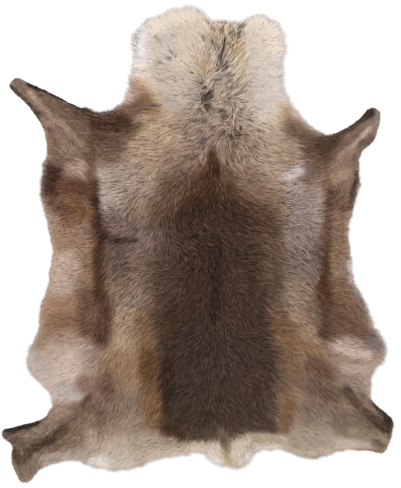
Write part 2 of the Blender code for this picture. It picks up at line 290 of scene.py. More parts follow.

# What colour the coat is: soft-edged patches, painted in this order. Some of them are painted light
# and shade, each marked where it stands. A patch is everything within a radius of a line from
# (x0, y0) to (x1, y1), where the radius runs from r0 to r1. Its edge is soft over that share of the
# radius. Colours are sRGB, 0 to 255. A patch covers what lies under it in full, or by the strength
# that ends its row.
Patch = namedtuple("Patch", "place x0 y0 r0 x1 y1 r1 soft colour strength", defaults=(1,))
PATCHES = [Patch(*row) for row in (
    ("neck_ground", 178, 60, 62, 252, 66, 58, 0.3, (212, 197, 180)),
    ("neck_low", 172, 118, 40, 262, 116, 38, 0.45, (196, 176, 158)),
    ("neck_left_cream", 178, 24, 26, 192, 44, 22, 0.5, (210, 196, 182)),
    ("neck_left_white", 138, 30, 9, 141, 64, 9, 0.7, (212, 207, 206)),
    ("neck_left_lilac", 164, 38, 11, 168, 60, 10, 0.7, (212, 198, 190), 0.8),
    ("neck_left_straw", 188, 34, 12, 184, 66, 12, 0.8, (234, 216, 190), 0.7),
    ("neck_left_beige", 150, 82, 14, 196, 86, 16, 0.7, (213, 194, 178)),
    ("neck_left_mauve", 158, 100, 7, 176, 104, 6, 0.8, (190, 174, 168), 0.8),
    ("neck_left_low_cream", 184, 98, 7, 197, 101, 6, 0.8, (222, 204, 188), 0.8),
    ("neck_left_ochre", 144, 86, 4, 156, 102, 5, 0.8, (214, 186, 142), 0.9),
    ("neck_left_orange", 152, 112, 7, 158, 118, 6, 0.8, (158, 118, 84), 0.9),
    ("neck_left_rose", 134, 84, 7, 142, 98, 8, 0.7, (160, 128, 110), 0.95),
    ("neck_left_root", 122, 114, 9, 146, 104, 9, 0.5, (134, 102, 80), 0.95),
    ("notch_tan", 214, 34, 15, 232, 40, 14, 0.8, (192, 170, 144), 0.9),
    ("notch_orange_left", 203, 56, 8, 206, 70, 8, 0.8, (208, 174, 144), 0.75),
    ("neck_left_inner", 198, 28, 6, 199, 58, 6, 0.8, (226, 208, 188), 0.7),
    ("notch_orange_right", 242, 48, 10, 245, 60, 9, 0.8, (220, 184, 152), 0.6),
    ("neck_right_straw", 252, 62, 10, 240, 80, 9, 0.8, (220, 196, 160), 0.5),
    ("parting_shade", 222, 50, 4, 221, 68, 6, 0.8, (168, 148, 134), 0.7),
    ("neck_mauve_line", 229, 68, 4, 226, 98, 5, 0.9, (202, 181, 165), 0.8),
    ("neck_right_cream", 264, 26, 19, 266, 62, 20, 0.5, (216, 202, 188)),
    # Painted shadow: a greyer band along the neck's right edge.
    ("neck_right_edge", 278, 60, 7, 280, 92, 8, 0.8, (184, 176, 173), 0.75),
    ("neck_right_beige", 262, 86, 16, 264, 108, 16, 0.6, (201, 188, 177), 0.9),
    ("neck_middle_low", 204, 118, 20, 228, 128, 18, 0.8, (184, 162, 146), 0.85),
    ("neck_right_ochre", 272, 130, 8, 281, 122, 8, 0.7, (192, 172, 148), 0.8),
    ("neck_right_orange", 286, 108, 5, 287, 126, 6, 0.7, (162, 134, 108), 0.9),
    ("shoulder_ground_left", 112, 158, 28, 176, 150, 30, 0.4, (182, 156, 132)),
    ("shoulder_ground_right", 244, 158, 28, 292, 158, 26, 0.4, (176, 153, 133)),
    ("shoulder_left_apricot", 142, 128, 10, 176, 128, 13, 0.7, (198, 168, 141), 0.95),
    ("shoulder_left_light", 128, 152, 12, 160, 146, 14, 0.7, (194, 164, 138), 0.8),
    ("withers_grey", 192, 128, 16, 236, 138, 16, 0.8, (172, 148, 132), 0.8),
    ("nape_rose", 219, 124, 6, 226, 127, 6, 0.8, (200, 168, 150), 0.8),
    ("withers_left_mauve", 200, 142, 8, 207, 150, 7, 0.8, (146, 124, 114), 0.8),
    ("withers_shadow_left", 172, 160, 13, 190, 172, 16, 0.7, (164, 134, 117), 0.9),
    ("saddle_shoulder_left", 174, 186, 14, 160, 226, 15, 0.7, (108, 84, 68), 0.9),
    ("withers_brown_right", 230, 152, 12, 238, 176, 13, 0.8, (158, 130, 108), 0.85),
    ("shoulder_right_top", 246, 148, 6, 250, 156, 6, 0.8, (152, 130, 114), 0.7),
    ("shoulder_right_low", 253, 176, 8, 260, 192, 9, 0.8, (136, 108, 90), 0.8),
    ("saddle_crown", 212, 196, 30, 214, 232, 52, 0.4, (86, 60, 44)),
    ("saddle_crown_right", 236, 214, 18, 261, 220, 17, 0.7, (89, 64, 50), 0.95),
    ("saddle_crown_deep", 196, 218, 17, 224, 226, 24, 0.6, (57, 42, 34), 0.95),
    ("saddle_crown_spine", 212, 188, 5, 212, 206, 7, 0.8, (58, 40, 30), 0.8),
    ("spine_dark", 212, 154, 5, 213, 186, 8, 0.6, (82, 56, 40), 0.95),
    ("spine_right_brown", 223, 170, 5, 226, 180, 5, 0.8, (122, 95, 76), 0.7),
    ("saddle_body", 204, 262, 52, 218, 330, 64, 0.3, (73, 54, 44)),
    ("saddle_low", 204, 372, 52, 226, 376, 55, 0.22, (73, 57, 48)),
    ("saddle_low_left", 165, 366, 10, 168, 410, 9, 0.5, (62, 46, 37)),
    ("saddle_foot", 188, 416, 22, 254, 410, 23, 0.22, (74, 58, 48)),
    ("saddle_hem", 184, 434, 7, 228, 434, 7, 0.45, (86, 70, 58)),
    ("saddle_hem_right", 240, 427, 7, 272, 427, 7, 0.35, (82, 66, 54)),
    ("saddle_foot_edge", 270, 396, 5, 272, 414, 5, 0.8, (98, 78, 66), 0.8),
    ("saddle_hem_left", 162, 426, 7, 180, 436, 5, 0.6, (74, 52, 38)),
    ("saddle_right_grey", 248, 262, 22, 258, 330, 22, 0.8, (74, 58, 48), 0.7),
    ("saddle_right_copper", 276, 312, 7, 278, 342, 7, 0.8, (129, 98, 75), 0.8),
    ("saddle_left_brown", 160, 236, 14, 164, 284, 15, 0.8, (100, 80, 68), 0.8),
    ("saddle_left_umber", 160, 318, 6, 162, 340, 6, 0.8, (84, 62, 46), 0.9),
    ("saddle_spine", 216, 250, 6, 214, 320, 5, 0.8, (48, 35, 30), 0.7),
    ("flank_left_pale", 108, 176, 14, 112, 206, 13, 0.5, (191, 172, 161)),
    ("flank_left_upper", 126, 176, 15, 138, 188, 14, 0.7, (178, 156, 144), 0.85),
    ("flank_left_mid", 116, 226, 18, 140, 242, 17, 0.7, (134, 111, 102), 0.95),
    ("flank_left_grey", 112, 254, 15, 118, 266, 14, 0.7, (112, 92, 82), 0.95),
    ("flank_left_rose", 140, 278, 9, 142, 290, 9, 0.8, (146, 120, 104), 0.8),
    ("flank_left_stripe", 128, 306, 10, 132, 300, 11, 0.8, (150, 132, 116), 0.8),
    # Painted shade: dark lines in the fold of the left flank.
    ("flank_left_crease", 98, 233, 4, 113, 239, 4, 0.9, (78, 58, 51), 0.85),
    ("flank_left_crease_inner", 117, 240, 3, 135, 240, 2.5, 0.8, (84, 64, 56), 0.7),
    ("flank_left_gold", 125, 318, 12, 126, 350, 14, 0.5, (176, 148, 122)),
    ("flank_left_gold_2", 142, 320, 8, 146, 356, 10, 0.6, (136, 104, 79), 0.9),
    ("flank_left_gold_3", 118, 366, 16, 140, 372, 16, 0.6, (152, 122, 94), 0.95),
    ("flank_left_copper", 147, 356, 8, 150, 404, 9, 0.6, (100, 71, 48), 0.9),
    ("flank_left_rose_low", 108, 380, 8, 106, 400, 9, 0.8, (118, 90, 74), 0.8),
    ("flank_left_low", 114, 408, 16, 138, 402, 12, 0.6, (136, 114, 96), 0.95),
    ("flank_left_haze", 128, 404, 8, 134, 404, 8, 0.8, (140, 120, 104), 0.8),
    ("flank_left_copper_low", 150, 396, 10, 150, 424, 10, 0.6, (130, 98, 70), 0.9),
    ("flank_left_sand", 112, 434, 16, 130, 426, 14, 0.6, (160, 138, 118), 0.9),
    ("rump_left_pale", 112, 454, 16, 150, 448, 16, 0.5, (192, 174, 154)),
    ("rump_left_white", 118, 462, 10, 126, 462, 10, 0.8, (200, 188, 176), 0.8),
    # Painted light: a pale glow at the left edge of the rump.
    ("rump_left_bloom", 92, 461, 6, 104, 464, 7, 0.8, (226, 219, 214), 0.9),
    ("rump_left_grey", 150, 444, 6, 170, 444, 6, 0.6, (180, 161, 142), 0.9),
    ("rump_cream", 150, 456, 9, 200, 451, 8, 0.4, (198, 178, 158)),
    ("rump_cream_2", 196, 450, 7, 216, 449, 7, 0.4, (200, 182, 164)),
    ("rump_cream_right", 250, 440, 8, 284, 441, 8, 0.4, (182, 163, 142)),
    ("rump_cream_edge", 256, 448, 3, 278, 447, 3.5, 0.7, (212, 196, 182), 0.9),
    # Painted light: a pale glow at the right edge of the rump.
    ("rump_right_bloom", 288, 443, 7, 294, 446, 7, 0.8, (194, 175, 154), 0.9),
    ("tail_cream", 216, 455, 12, 242, 456, 12, 0.4, (204, 188, 170)),
    ("tail_left_lilac", 209, 460, 5, 218, 463, 6, 0.8, (222, 216, 212), 0.9),
    ("tail_right_grey", 249, 452, 3, 249, 460, 3, 0.8, (208, 204, 192), 0.8),
    ("tail_right_top", 237, 444, 4.5, 247, 439, 4, 0.6, (206, 188, 172)),
    ("tail_straw", 226, 454, 4, 229, 464, 5, 0.8, (176, 158, 124), 0.9),
    ("tail_tuft", 222, 432, 4, 227, 449, 4.5, 0.6, (128, 108, 84), 0.95),
    # Painted shade: dark colour in the left groove of the hide.
    ("groove_left_top", 94, 182, 5, 99, 246, 7, 0.5, (66, 43, 31)),
    ("groove_left_mid", 97, 250, 6, 100, 312, 9, 0.6, (80, 54, 40)),
    ("groove_left_low", 101, 310, 10, 101, 338, 10, 0.6, (86, 60, 48)),
    ("belly_left_dark", 52, 170, 9, 50, 190, 10, 0.5, (70, 48, 38)),
    ("belly_left_brown", 66, 188, 10, 86, 190, 9, 0.6, (110, 76, 57)),
    ("belly_left_orange", 74, 206, 8, 84, 213, 9, 0.6, (132, 94, 66)),
    ("belly_left_umber", 60, 205, 6, 66, 214, 7, 0.7, (110, 77, 60), 0.9),
    ("belly_left_rust_top", 64, 221, 5, 78, 222, 5, 0.7, (132, 96, 74), 0.9),
    ("belly_left_edge_grey", 49, 215, 4, 52, 222, 4, 0.7, (146, 124, 112), 0.9),
    ("belly_left_maroon", 50, 201, 6, 56, 208, 6, 0.6, (104, 76, 62)),
    ("belly_left_tan", 62, 238, 14, 80, 240, 14, 0.5, (158, 126, 104)),
    ("belly_left_rose", 62, 262, 10, 62, 290, 11, 0.6, (190, 166, 150)),
    ("belly_left_rose_2", 72, 256, 8, 77, 270, 8, 0.8, (198, 168, 150), 0.85),
    ("belly_left_rust", 86, 260, 5, 87, 284, 6, 0.6, (148, 114, 90), 0.95),
    ("belly_left_brown_low", 54, 308, 12, 78, 312, 16, 0.6, (162, 127, 103)),
    ("belly_left_brown_2", 56, 326, 12, 80, 326, 12, 0.6, (142, 109, 85)),
    ("belly_left_inner", 86, 296, 9, 88, 330, 9, 0.6, (112, 84, 66), 0.95),
    ("haunch_left_ground", 66, 352, 20, 60, 372, 26, 0.4, (190, 166, 152)),
    ("haunch_left_pale", 78, 352, 10, 64, 374, 14, 0.6, (200, 180, 166)),
    ("haunch_left_top", 56, 338, 5, 76, 341, 5, 0.8, (168, 136, 118), 0.8),
    ("haunch_left_edge", 34, 358, 9, 42, 372, 10, 0.6, (178, 164, 154), 0.9),
    ("haunch_left_rose", 88, 352, 9, 90, 372, 8, 0.7, (168, 143, 129), 0.8),
    ("haunch_left_lower", 62, 392, 11, 78, 396, 10, 0.5, (182, 168, 160)),
    ("haunch_left_mauve", 82, 384, 8, 92, 392, 9, 0.7, (134, 106, 94), 0.9),
    ("haunch_left_hollow", 76, 401, 5, 70, 403, 5, 0.7, (194, 172, 158), 0.9),
    ("groin_left", 86, 406, 5, 98, 416, 8, 0.6, (118, 92, 78), 0.95),
    ("groin_left_line", 74, 411, 3, 90, 397, 3, 0.7, (98, 68, 56), 0.9),
    ("groin_left_mauve", 104, 386, 7, 110, 393, 7, 0.8, (112, 84, 70), 0.8),
    ("leg_left_ground", 30, 444, 22, 84, 424, 18, 0.4, (126, 104, 88)),
    ("leg_left_top_dark", 6, 431, 4, 44, 421, 3, 0.6, (52, 44, 41)),
    ("leg_left_top_brown", 50, 416, 6, 76, 408, 6, 0.6, (134, 110, 94), 0.95),
    ("leg_left_top_rust", 56, 412, 4, 66, 411, 4, 0.7, (166, 139, 123), 0.9),
    ("leg_left_rose", 44, 424, 5, 66, 414, 5, 0.7, (156, 130, 114), 0.9),
    # Painted highlight: a pale line of shine along the left hind leg.
    ("leg_left_lightbar", 28, 438, 5, 50, 426, 5, 0.6, (154, 132, 117), 0.95),
    ("leg_left_stripe", 30, 452, 4, 66, 430, 5, 0.6, (80, 62, 48)),
    ("leg_left_mid", 26, 445, 3, 34, 442, 3, 0.7, (122, 102, 87), 0.9),
    ("leg_left_stripe_2", 58, 437, 4, 70, 428, 4, 0.8, (104, 82, 64), 0.9),
    ("leg_left_gold", 76, 428, 6, 90, 420, 7, 0.7, (144, 118, 98), 0.9),
    ("leg_left_olive", 64, 441, 6, 80, 435, 7, 0.7, (140, 114, 92), 0.95),
    ("leg_left_pale_top", 90, 434, 6, 92, 446, 7, 0.8, (182, 162, 144), 0.9),
    ("leg_left_toe_dark", 14, 452, 4, 22, 470, 4, 0.7, (82, 66, 56), 0.95),
    ("leg_left_toe", 26, 470, 8, 42, 460, 8, 0.6, (132, 114, 100)),
    ("leg_left_toe_mid", 22, 462, 4, 32, 450, 4, 0.7, (92, 75, 60), 0.95),
    ("leg_left_hoof", 5, 435, 3, 12, 441, 3, 0.7, (106, 91, 81), 0.95),
    ("leg_left_under_pale", 46, 461, 6, 80, 455, 8, 0.6, (176, 160, 146), 0.95),
    ("arm_left_ground", 30, 98, 16, 90, 140, 26, 0.4, (134, 112, 96)),
    ("arm_left_root_dark", 89, 119, 13, 121, 121, 11, 0.45, (80, 57, 45)),
    ("arm_left_root_deep", 106, 126, 8, 124, 127, 8, 0.9, (72, 51, 40), 0.9),
    ("arm_left_root_red", 96, 140, 9, 118, 146, 9, 0.6, (110, 84, 72)),
    ("arm_left_root_low", 100, 152, 7, 112, 158, 7, 0.7, (130, 104, 88), 0.9),
    ("arm_left_root_rust", 128, 111, 6, 136, 106, 6, 0.8, (122, 90, 74), 0.9),
    ("arm_left_root_side", 127, 134, 6, 139, 126, 5, 0.8, (106, 82, 64), 0.8),
    ("arm_left_top_dark", 28, 83, 2.5, 90, 109, 4, 0.5, (56, 42, 36)),
    ("arm_left_top_brown", 40, 96, 4, 84, 118, 5, 0.7, (100, 78, 65), 0.95),
    ("arm_left_foot", 14, 79, 4, 19, 86, 4, 0.6, (120, 104, 93)),
    ("arm_left_under_dark", 11, 88, 3, 46, 124, 3.5, 0.6, (82, 66, 56)),
    # Painted highlight: pale lines of shine along the ridge of the left foreleg.
    ("arm_left_ridge", 28, 91, 2.5, 54, 117, 4, 0.7, (178, 150, 132)),
    ("arm_left_ridge_2", 54, 117, 3.5, 84, 147, 3, 0.7, (174, 144, 122)),
    ("arm_left_ridge_brown", 46, 101, 5, 84, 130, 7, 0.6, (130, 106, 90), 0.9),
    ("arm_left_taupe", 45, 122, 6, 66, 146, 7, 0.6, (156, 126, 112)),
    ("arm_left_fold_dark", 49, 128, 3, 56, 142, 3, 0.8, (120, 94, 80), 0.8),
    ("arm_left_rose", 75, 165, 8, 88, 172, 8, 0.6, (198, 168, 152)),
    ("arm_left_fold", 56, 146, 5, 72, 160, 5, 0.7, (132, 106, 90), 0.9),
    ("arm_left_hollow", 64, 149, 5, 82, 151, 5, 0.8, (166, 138, 120), 0.8),
    ("arm_left_elbow", 50, 152, 6, 56, 160, 6, 0.7, (130, 102, 84), 0.9),
    ("arm_left_ochre", 92, 140, 4, 91, 178, 5, 0.8, (122, 92, 68), 0.85),
    ("arm_right_ground", 362, 122, 16, 322, 168, 28, 0.4, (132, 108, 94)),
    ("arm_right_root_dark", 312, 146, 11, 332, 144, 11, 0.5, (76, 57, 46)),
    ("arm_right_root_low", 322, 156, 6, 328, 162, 6, 0.7, (94, 71, 57), 0.9),
    ("arm_right_root_brown", 292, 128, 9, 306, 138, 9, 0.6, (112, 88, 74), 0.95),
    ("arm_right_top_dark", 330, 138, 5, 366, 114, 5, 0.6, (72, 58, 48)),
    ("arm_right_upper", 336, 154, 5, 362, 130, 4, 0.6, (122, 99, 86), 0.9),
    ("arm_right_foot", 367, 112, 4.5, 371, 112, 5, 0.6, (60, 50, 45)),
    ("arm_right_end", 378, 112, 2.5, 377, 124, 2.5, 0.7, (142, 130, 124)),
    # Painted highlight along the ridge of the right foreleg, and painted shade in the crease beside
    # it.
    ("arm_right_ridge", 340, 158, 3.5, 370, 129, 3, 0.7, (184, 160, 144)),
    ("arm_right_crease", 338, 166, 1.5, 371, 133, 1.5, 0.8, (134, 112, 98), 0.9),
    ("arm_right_curl", 362, 144, 4, 372, 138, 4, 0.6, (114, 96, 88)),
    ("arm_right_tan", 336, 170, 9, 352, 154, 7, 0.6, (148, 120, 104)),
    ("arm_right_tan_2", 334, 180, 7, 344, 174, 6, 0.6, (172, 141, 120)),
    ("arm_right_elbow", 356, 156, 3.5, 356, 165, 4, 0.7, (116, 99, 90), 0.9),
    ("arm_right_line", 327, 168, 3, 329, 190, 3.5, 0.6, (132, 100, 76), 0.9),
    ("arm_right_brown", 310, 156, 7, 316, 168, 6, 0.7, (112, 88, 74), 0.95),
    ("belly_right_brown", 338, 195, 9, 342, 206, 8, 0.5, (116, 87, 70)),
    ("belly_right_rose_top", 345, 192, 4, 346, 199, 4, 0.8, (130, 105, 90), 0.9),
    ("belly_right_edge", 357, 174, 3.3, 352, 206, 3.3, 0.6, (72, 55, 44), 0.95),
    ("belly_right_orange", 339, 219, 7, 340, 240, 9, 0.5, (142, 111, 92)),
    ("belly_right_tan", 340, 246, 9, 342, 262, 9, 0.5, (138, 110, 88)),
    ("belly_right_rose", 342, 266, 7, 344, 284, 7, 0.6, (142, 116, 102), 0.9),
    ("belly_right_rim", 350, 262, 3, 352, 280, 3, 0.8, (192, 180, 176), 0.9),
    ("belly_right_ochre", 340, 286, 9, 348, 298, 9, 0.6, (128, 98, 76)),
    ("belly_right_edge_grey", 356, 292, 6, 366, 312, 6, 0.7, (138, 127, 121), 0.9),
    ("belly_right_umber", 356, 306, 10, 362, 326, 9, 0.6, (120, 96, 78)),
    ("belly_right_red", 336, 306, 10, 344, 324, 12, 0.6, (112, 82, 66)),
    ("belly_right_rust", 352, 328, 8, 366, 334, 7, 0.6, (114, 86, 69)),
    ("belly_right_tip", 374, 337, 6, 381, 346, 5, 0.6, (96, 84, 80), 0.95),
    ("haunch_right_ground", 346, 346, 10, 366, 352, 10, 0.5, (172, 151, 140)),
    ("haunch_right_pale", 338, 346, 6, 368, 356, 4, 0.7, (196, 172, 160)),
    ("haunch_right_edge", 368, 341, 5, 380, 347, 5, 0.7, (124, 110, 106)),
    ("haunch_right_pale_2", 346, 368, 6, 364, 370, 6, 0.7, (178, 156, 144)),
    ("haunch_right_umber", 348, 362, 2, 372, 364, 2.5, 0.7, (158, 136, 124), 0.9),
    ("haunch_right_low", 346, 380, 6, 358, 382, 5, 0.6, (152, 131, 116)),
    ("haunch_right_hollow", 364, 380, 4, 367, 388, 4, 0.7, (160, 142, 134), 0.9),
    ("haunch_right_taupe", 350, 392, 7, 368, 396, 6, 0.6, (162, 140, 128), 0.95),
    # Painted shade: dark colour in the right groove of the hide.
    ("groove_right_top", 328, 195, 4.5, 326, 250, 5.5, 0.5, (98, 71, 59)),
    ("groove_right_mid", 324, 250, 6, 325, 300, 8, 0.6, (76, 50, 36)),
    ("groove_right_low", 322, 300, 7, 326, 334, 8, 0.6, (89, 65, 51)),
    ("flank_right_pale", 298, 196, 12, 306, 214, 14, 0.5, (158, 142, 134)),
    ("flank_right_top", 314, 184, 6, 318, 196, 7, 0.8, (164, 142, 130), 0.9),
    ("flank_right_edge_pale", 316, 204, 6, 318, 220, 6, 0.8, (166, 146, 136), 0.8),
    ("shoulder_right_tan", 294, 150, 6, 298, 162, 6, 0.8, (172, 145, 126), 0.8),
    ("flank_right_mauve", 300, 230, 16, 306, 252, 14, 0.6, (150, 130, 120)),
    ("flank_right_shade", 318, 244, 6, 318, 260, 5, 0.8, (106, 87, 77), 0.8),
    ("flank_right_grey", 296, 262, 14, 306, 272, 13, 0.6, (132, 112, 102)),
    ("flank_right_rose", 296, 290, 10, 300, 310, 10, 0.6, (156, 132, 114)),
    ("flank_right_gold", 300, 318, 9, 306, 334, 9, 0.5, (156, 128, 106)),
    ("flank_right_olive", 312, 308, 7, 314, 318, 7, 0.7, (126, 104, 87), 0.9),
    ("flank_right_copper", 290, 330, 8, 294, 352, 9, 0.5, (126, 95, 70), 0.9),
    ("flank_right_copper_2", 306, 350, 10, 318, 354, 8, 0.5, (142, 112, 84), 0.95),
    ("flank_right_copper_mid", 284, 364, 6, 294, 368, 6, 0.8, (112, 82, 60), 0.8),
    ("flank_right_red", 312, 366, 10, 328, 375, 9, 0.6, (112, 84, 68)),
    ("flank_right_red_2", 286, 388, 8, 296, 374, 7, 0.6, (122, 95, 76), 0.95),
    ("flank_right_copper_low", 288, 400, 7, 288, 426, 8, 0.5, (128, 97, 74)),
    ("flank_right_umber", 312, 386, 11, 333, 395, 10, 0.6, (114, 91, 78)),
    ("flank_right_sand", 308, 411, 11, 322, 410, 10, 0.6, (129, 109, 94)),
    ("flank_right_sand_edge", 300, 420, 7, 300, 428, 7, 0.7, (154, 131, 113), 0.9),
    ("flank_right_sand_2", 320, 424, 12, 336, 420, 10, 0.6, (146, 130, 114)),
    ("saddle_right_edge", 275, 232, 8, 277, 284, 7, 0.8, (92, 72, 58), 0.8),
    ("rump_right_sand", 300, 440, 12, 330, 440, 12, 0.5, (166, 150, 132)),
    ("rump_right_edge", 300, 452, 4, 330, 452, 4, 0.7, (186, 168, 152), 0.9),
    ("leg_right_ground", 344, 420, 14, 378, 428, 14, 0.5, (126, 106, 92)),
    ("leg_right_top_dark", 374, 402, 3, 391, 420, 4.5, 0.6, (62, 50, 42)),
    ("leg_right_bar", 362, 394, 4, 368, 404, 4, 0.7, (130, 107, 95), 0.95),
    ("leg_right_top_brown", 346, 390, 4, 358, 404, 5, 0.6, (94, 75, 63)),
    ("leg_right_foot", 388, 424, 5, 386, 430, 5, 0.6, (58, 46, 36)),
    ("leg_right_stripe", 366, 414, 5, 384, 428, 5, 0.7, (86, 69, 56), 0.95),
    ("leg_right_olive", 352, 432, 5, 384, 437, 4, 0.6, (152, 133, 111)),
    ("leg_right_pale", 340, 444, 6, 374, 445, 4, 0.6, (188, 171, 156)),
    ("leg_right_toe", 374, 444, 3, 382, 446, 4, 0.6, (140, 120, 104)),
    ("leg_right_toe_dark", 376, 440, 1.5, 384, 446, 2, 0.7, (112, 92, 78), 0.9),
    ("white_spot_under", 290, 185, 6, 298, 190, 6, 0.8, (180, 160, 150), 0.9),
    ("white_spot", 287, 179, 5, 302, 168, 5, 0.8, (216, 205, 203), 0.9),
    ("white_spot_end", 310, 169, 2.5, 312, 172, 2.5, 0.8, (96, 74, 68), 0.8),
    ("white_spot_shade", 306, 166, 4, 312, 178, 4, 0.7, (118, 98, 92), 0.9),
)]
COAT_GROUND = (150, 125, 105)  # where no patch reaches

# How uneven the coat is in tone and relief: patches of a share, which is 1 where none reaches.
UNEVENNESS = [Patch(*row) for row in (
    ("shoulder_left", 124, 150, 24, 170, 156, 24, 0.4, (1.20,)),
    ("flank_left", 124, 190, 22, 132, 300, 24, 0.4, (1.15,)),
    ("neck_middle", 222, 40, 22, 226, 140, 30, 0.4, (1.20,)),
    ("neck_left", 178, 30, 30, 176, 90, 24, 0.4, (0.06,)),
    ("neck_right", 262, 30, 20, 264, 100, 22, 0.4, (0.04,)),
    ("whorl", 205, 96, 12, 208, 104, 12, 0.5, (1.20,)),
    ("withers", 176, 150, 24, 250, 150, 24, 0.4, (1.20,)),
    ("saddle", 208, 210, 46, 214, 290, 50, 0.4, (1.20,)),
    ("saddle_low", 214, 320, 52, 216, 410, 56, 0.3, (0.92,)),
    ("rump", 60, 448, 26, 350, 440, 22, 0.4, (0.50,)),
    ("haunch_left", 50, 368, 24, 70, 374, 30, 0.4, (0.08,)),
    ("haunch_right", 340, 362, 14, 366, 366, 14, 0.5, (0.14,)),
    ("belly_left", 66, 260, 24, 58, 330, 26, 0.4, (0.36,)),
    ("belly_right", 338, 200, 12, 342, 320, 16, 0.4, (0.78,)),
    ("foreleg_left", 20, 86, 20, 80, 140, 30, 0.4, (1.30,)),
    ("flank_right", 300, 206, 20, 302, 330, 22, 0.4, (1.20,)),
    ("armpit_right", 302, 184, 16, 306, 202, 14, 0.6, (0.72,)),
    ("armpit_left", 110, 178, 14, 116, 196, 14, 0.6, (0.74,)),
    ("gold_left", 122, 350, 14, 142, 396, 12, 0.5, (0.72,)),
    ("gold_right", 288, 340, 14, 296, 396, 14, 0.5, (0.66,)),
    ("white_spot", 288, 178, 5, 304, 169, 5, 0.6, (0.20,)),
    ("foreleg_right", 376, 118, 12, 340, 150, 24, 0.4, (0.70,)),
    ("hindleg_left", 10, 440, 16, 60, 440, 24, 0.4, (1.50,)),
    ("hindleg_right", 350, 400, 16, 380, 430, 16, 0.4, (1.10,)),
    ("tail", 210, 448, 12, 240, 456, 14, 0.4, (0.50,)),
)]

# Where dark hairs lie in the hollows between the ridges: partly the coat's grizzled hair, partly
# painted shade in the hollows. A patch's strength is the share of the hairs that are dark in the
# deepest of them.
GRIZZLE_AND_HOLLOW_SHADE = [Patch(*row) for row in (
    ("neck_middle", 224, 36, 16, 226, 110, 20, 0.5, (84, 70, 64), 0.36),
    ("nape", 190, 132, 20, 240, 132, 26, 0.5, (92, 76, 68), 0.34),
    ("neck_left_low", 156, 88, 22, 190, 100, 18, 0.6, (140, 120, 110), 0.08),
    ("neck_right", 262, 96, 20, 268, 118, 20, 0.6, (150, 134, 124), 0.22),
    ("shoulders", 130, 166, 26, 290, 166, 26, 0.5, (108, 86, 72), 0.30),
    ("flank_left", 124, 198, 24, 132, 306, 24, 0.5, (78, 62, 54), 0.30),
    ("flank_right", 300, 200, 24, 300, 300, 20, 0.5, (88, 70, 62), 0.35),
    ("belly_left", 70, 220, 22, 66, 320, 20, 0.5, (96, 68, 50), 0.25),
    ("belly_right", 338, 214, 14, 342, 320, 18, 0.5, (96, 68, 52), 0.30),
)]

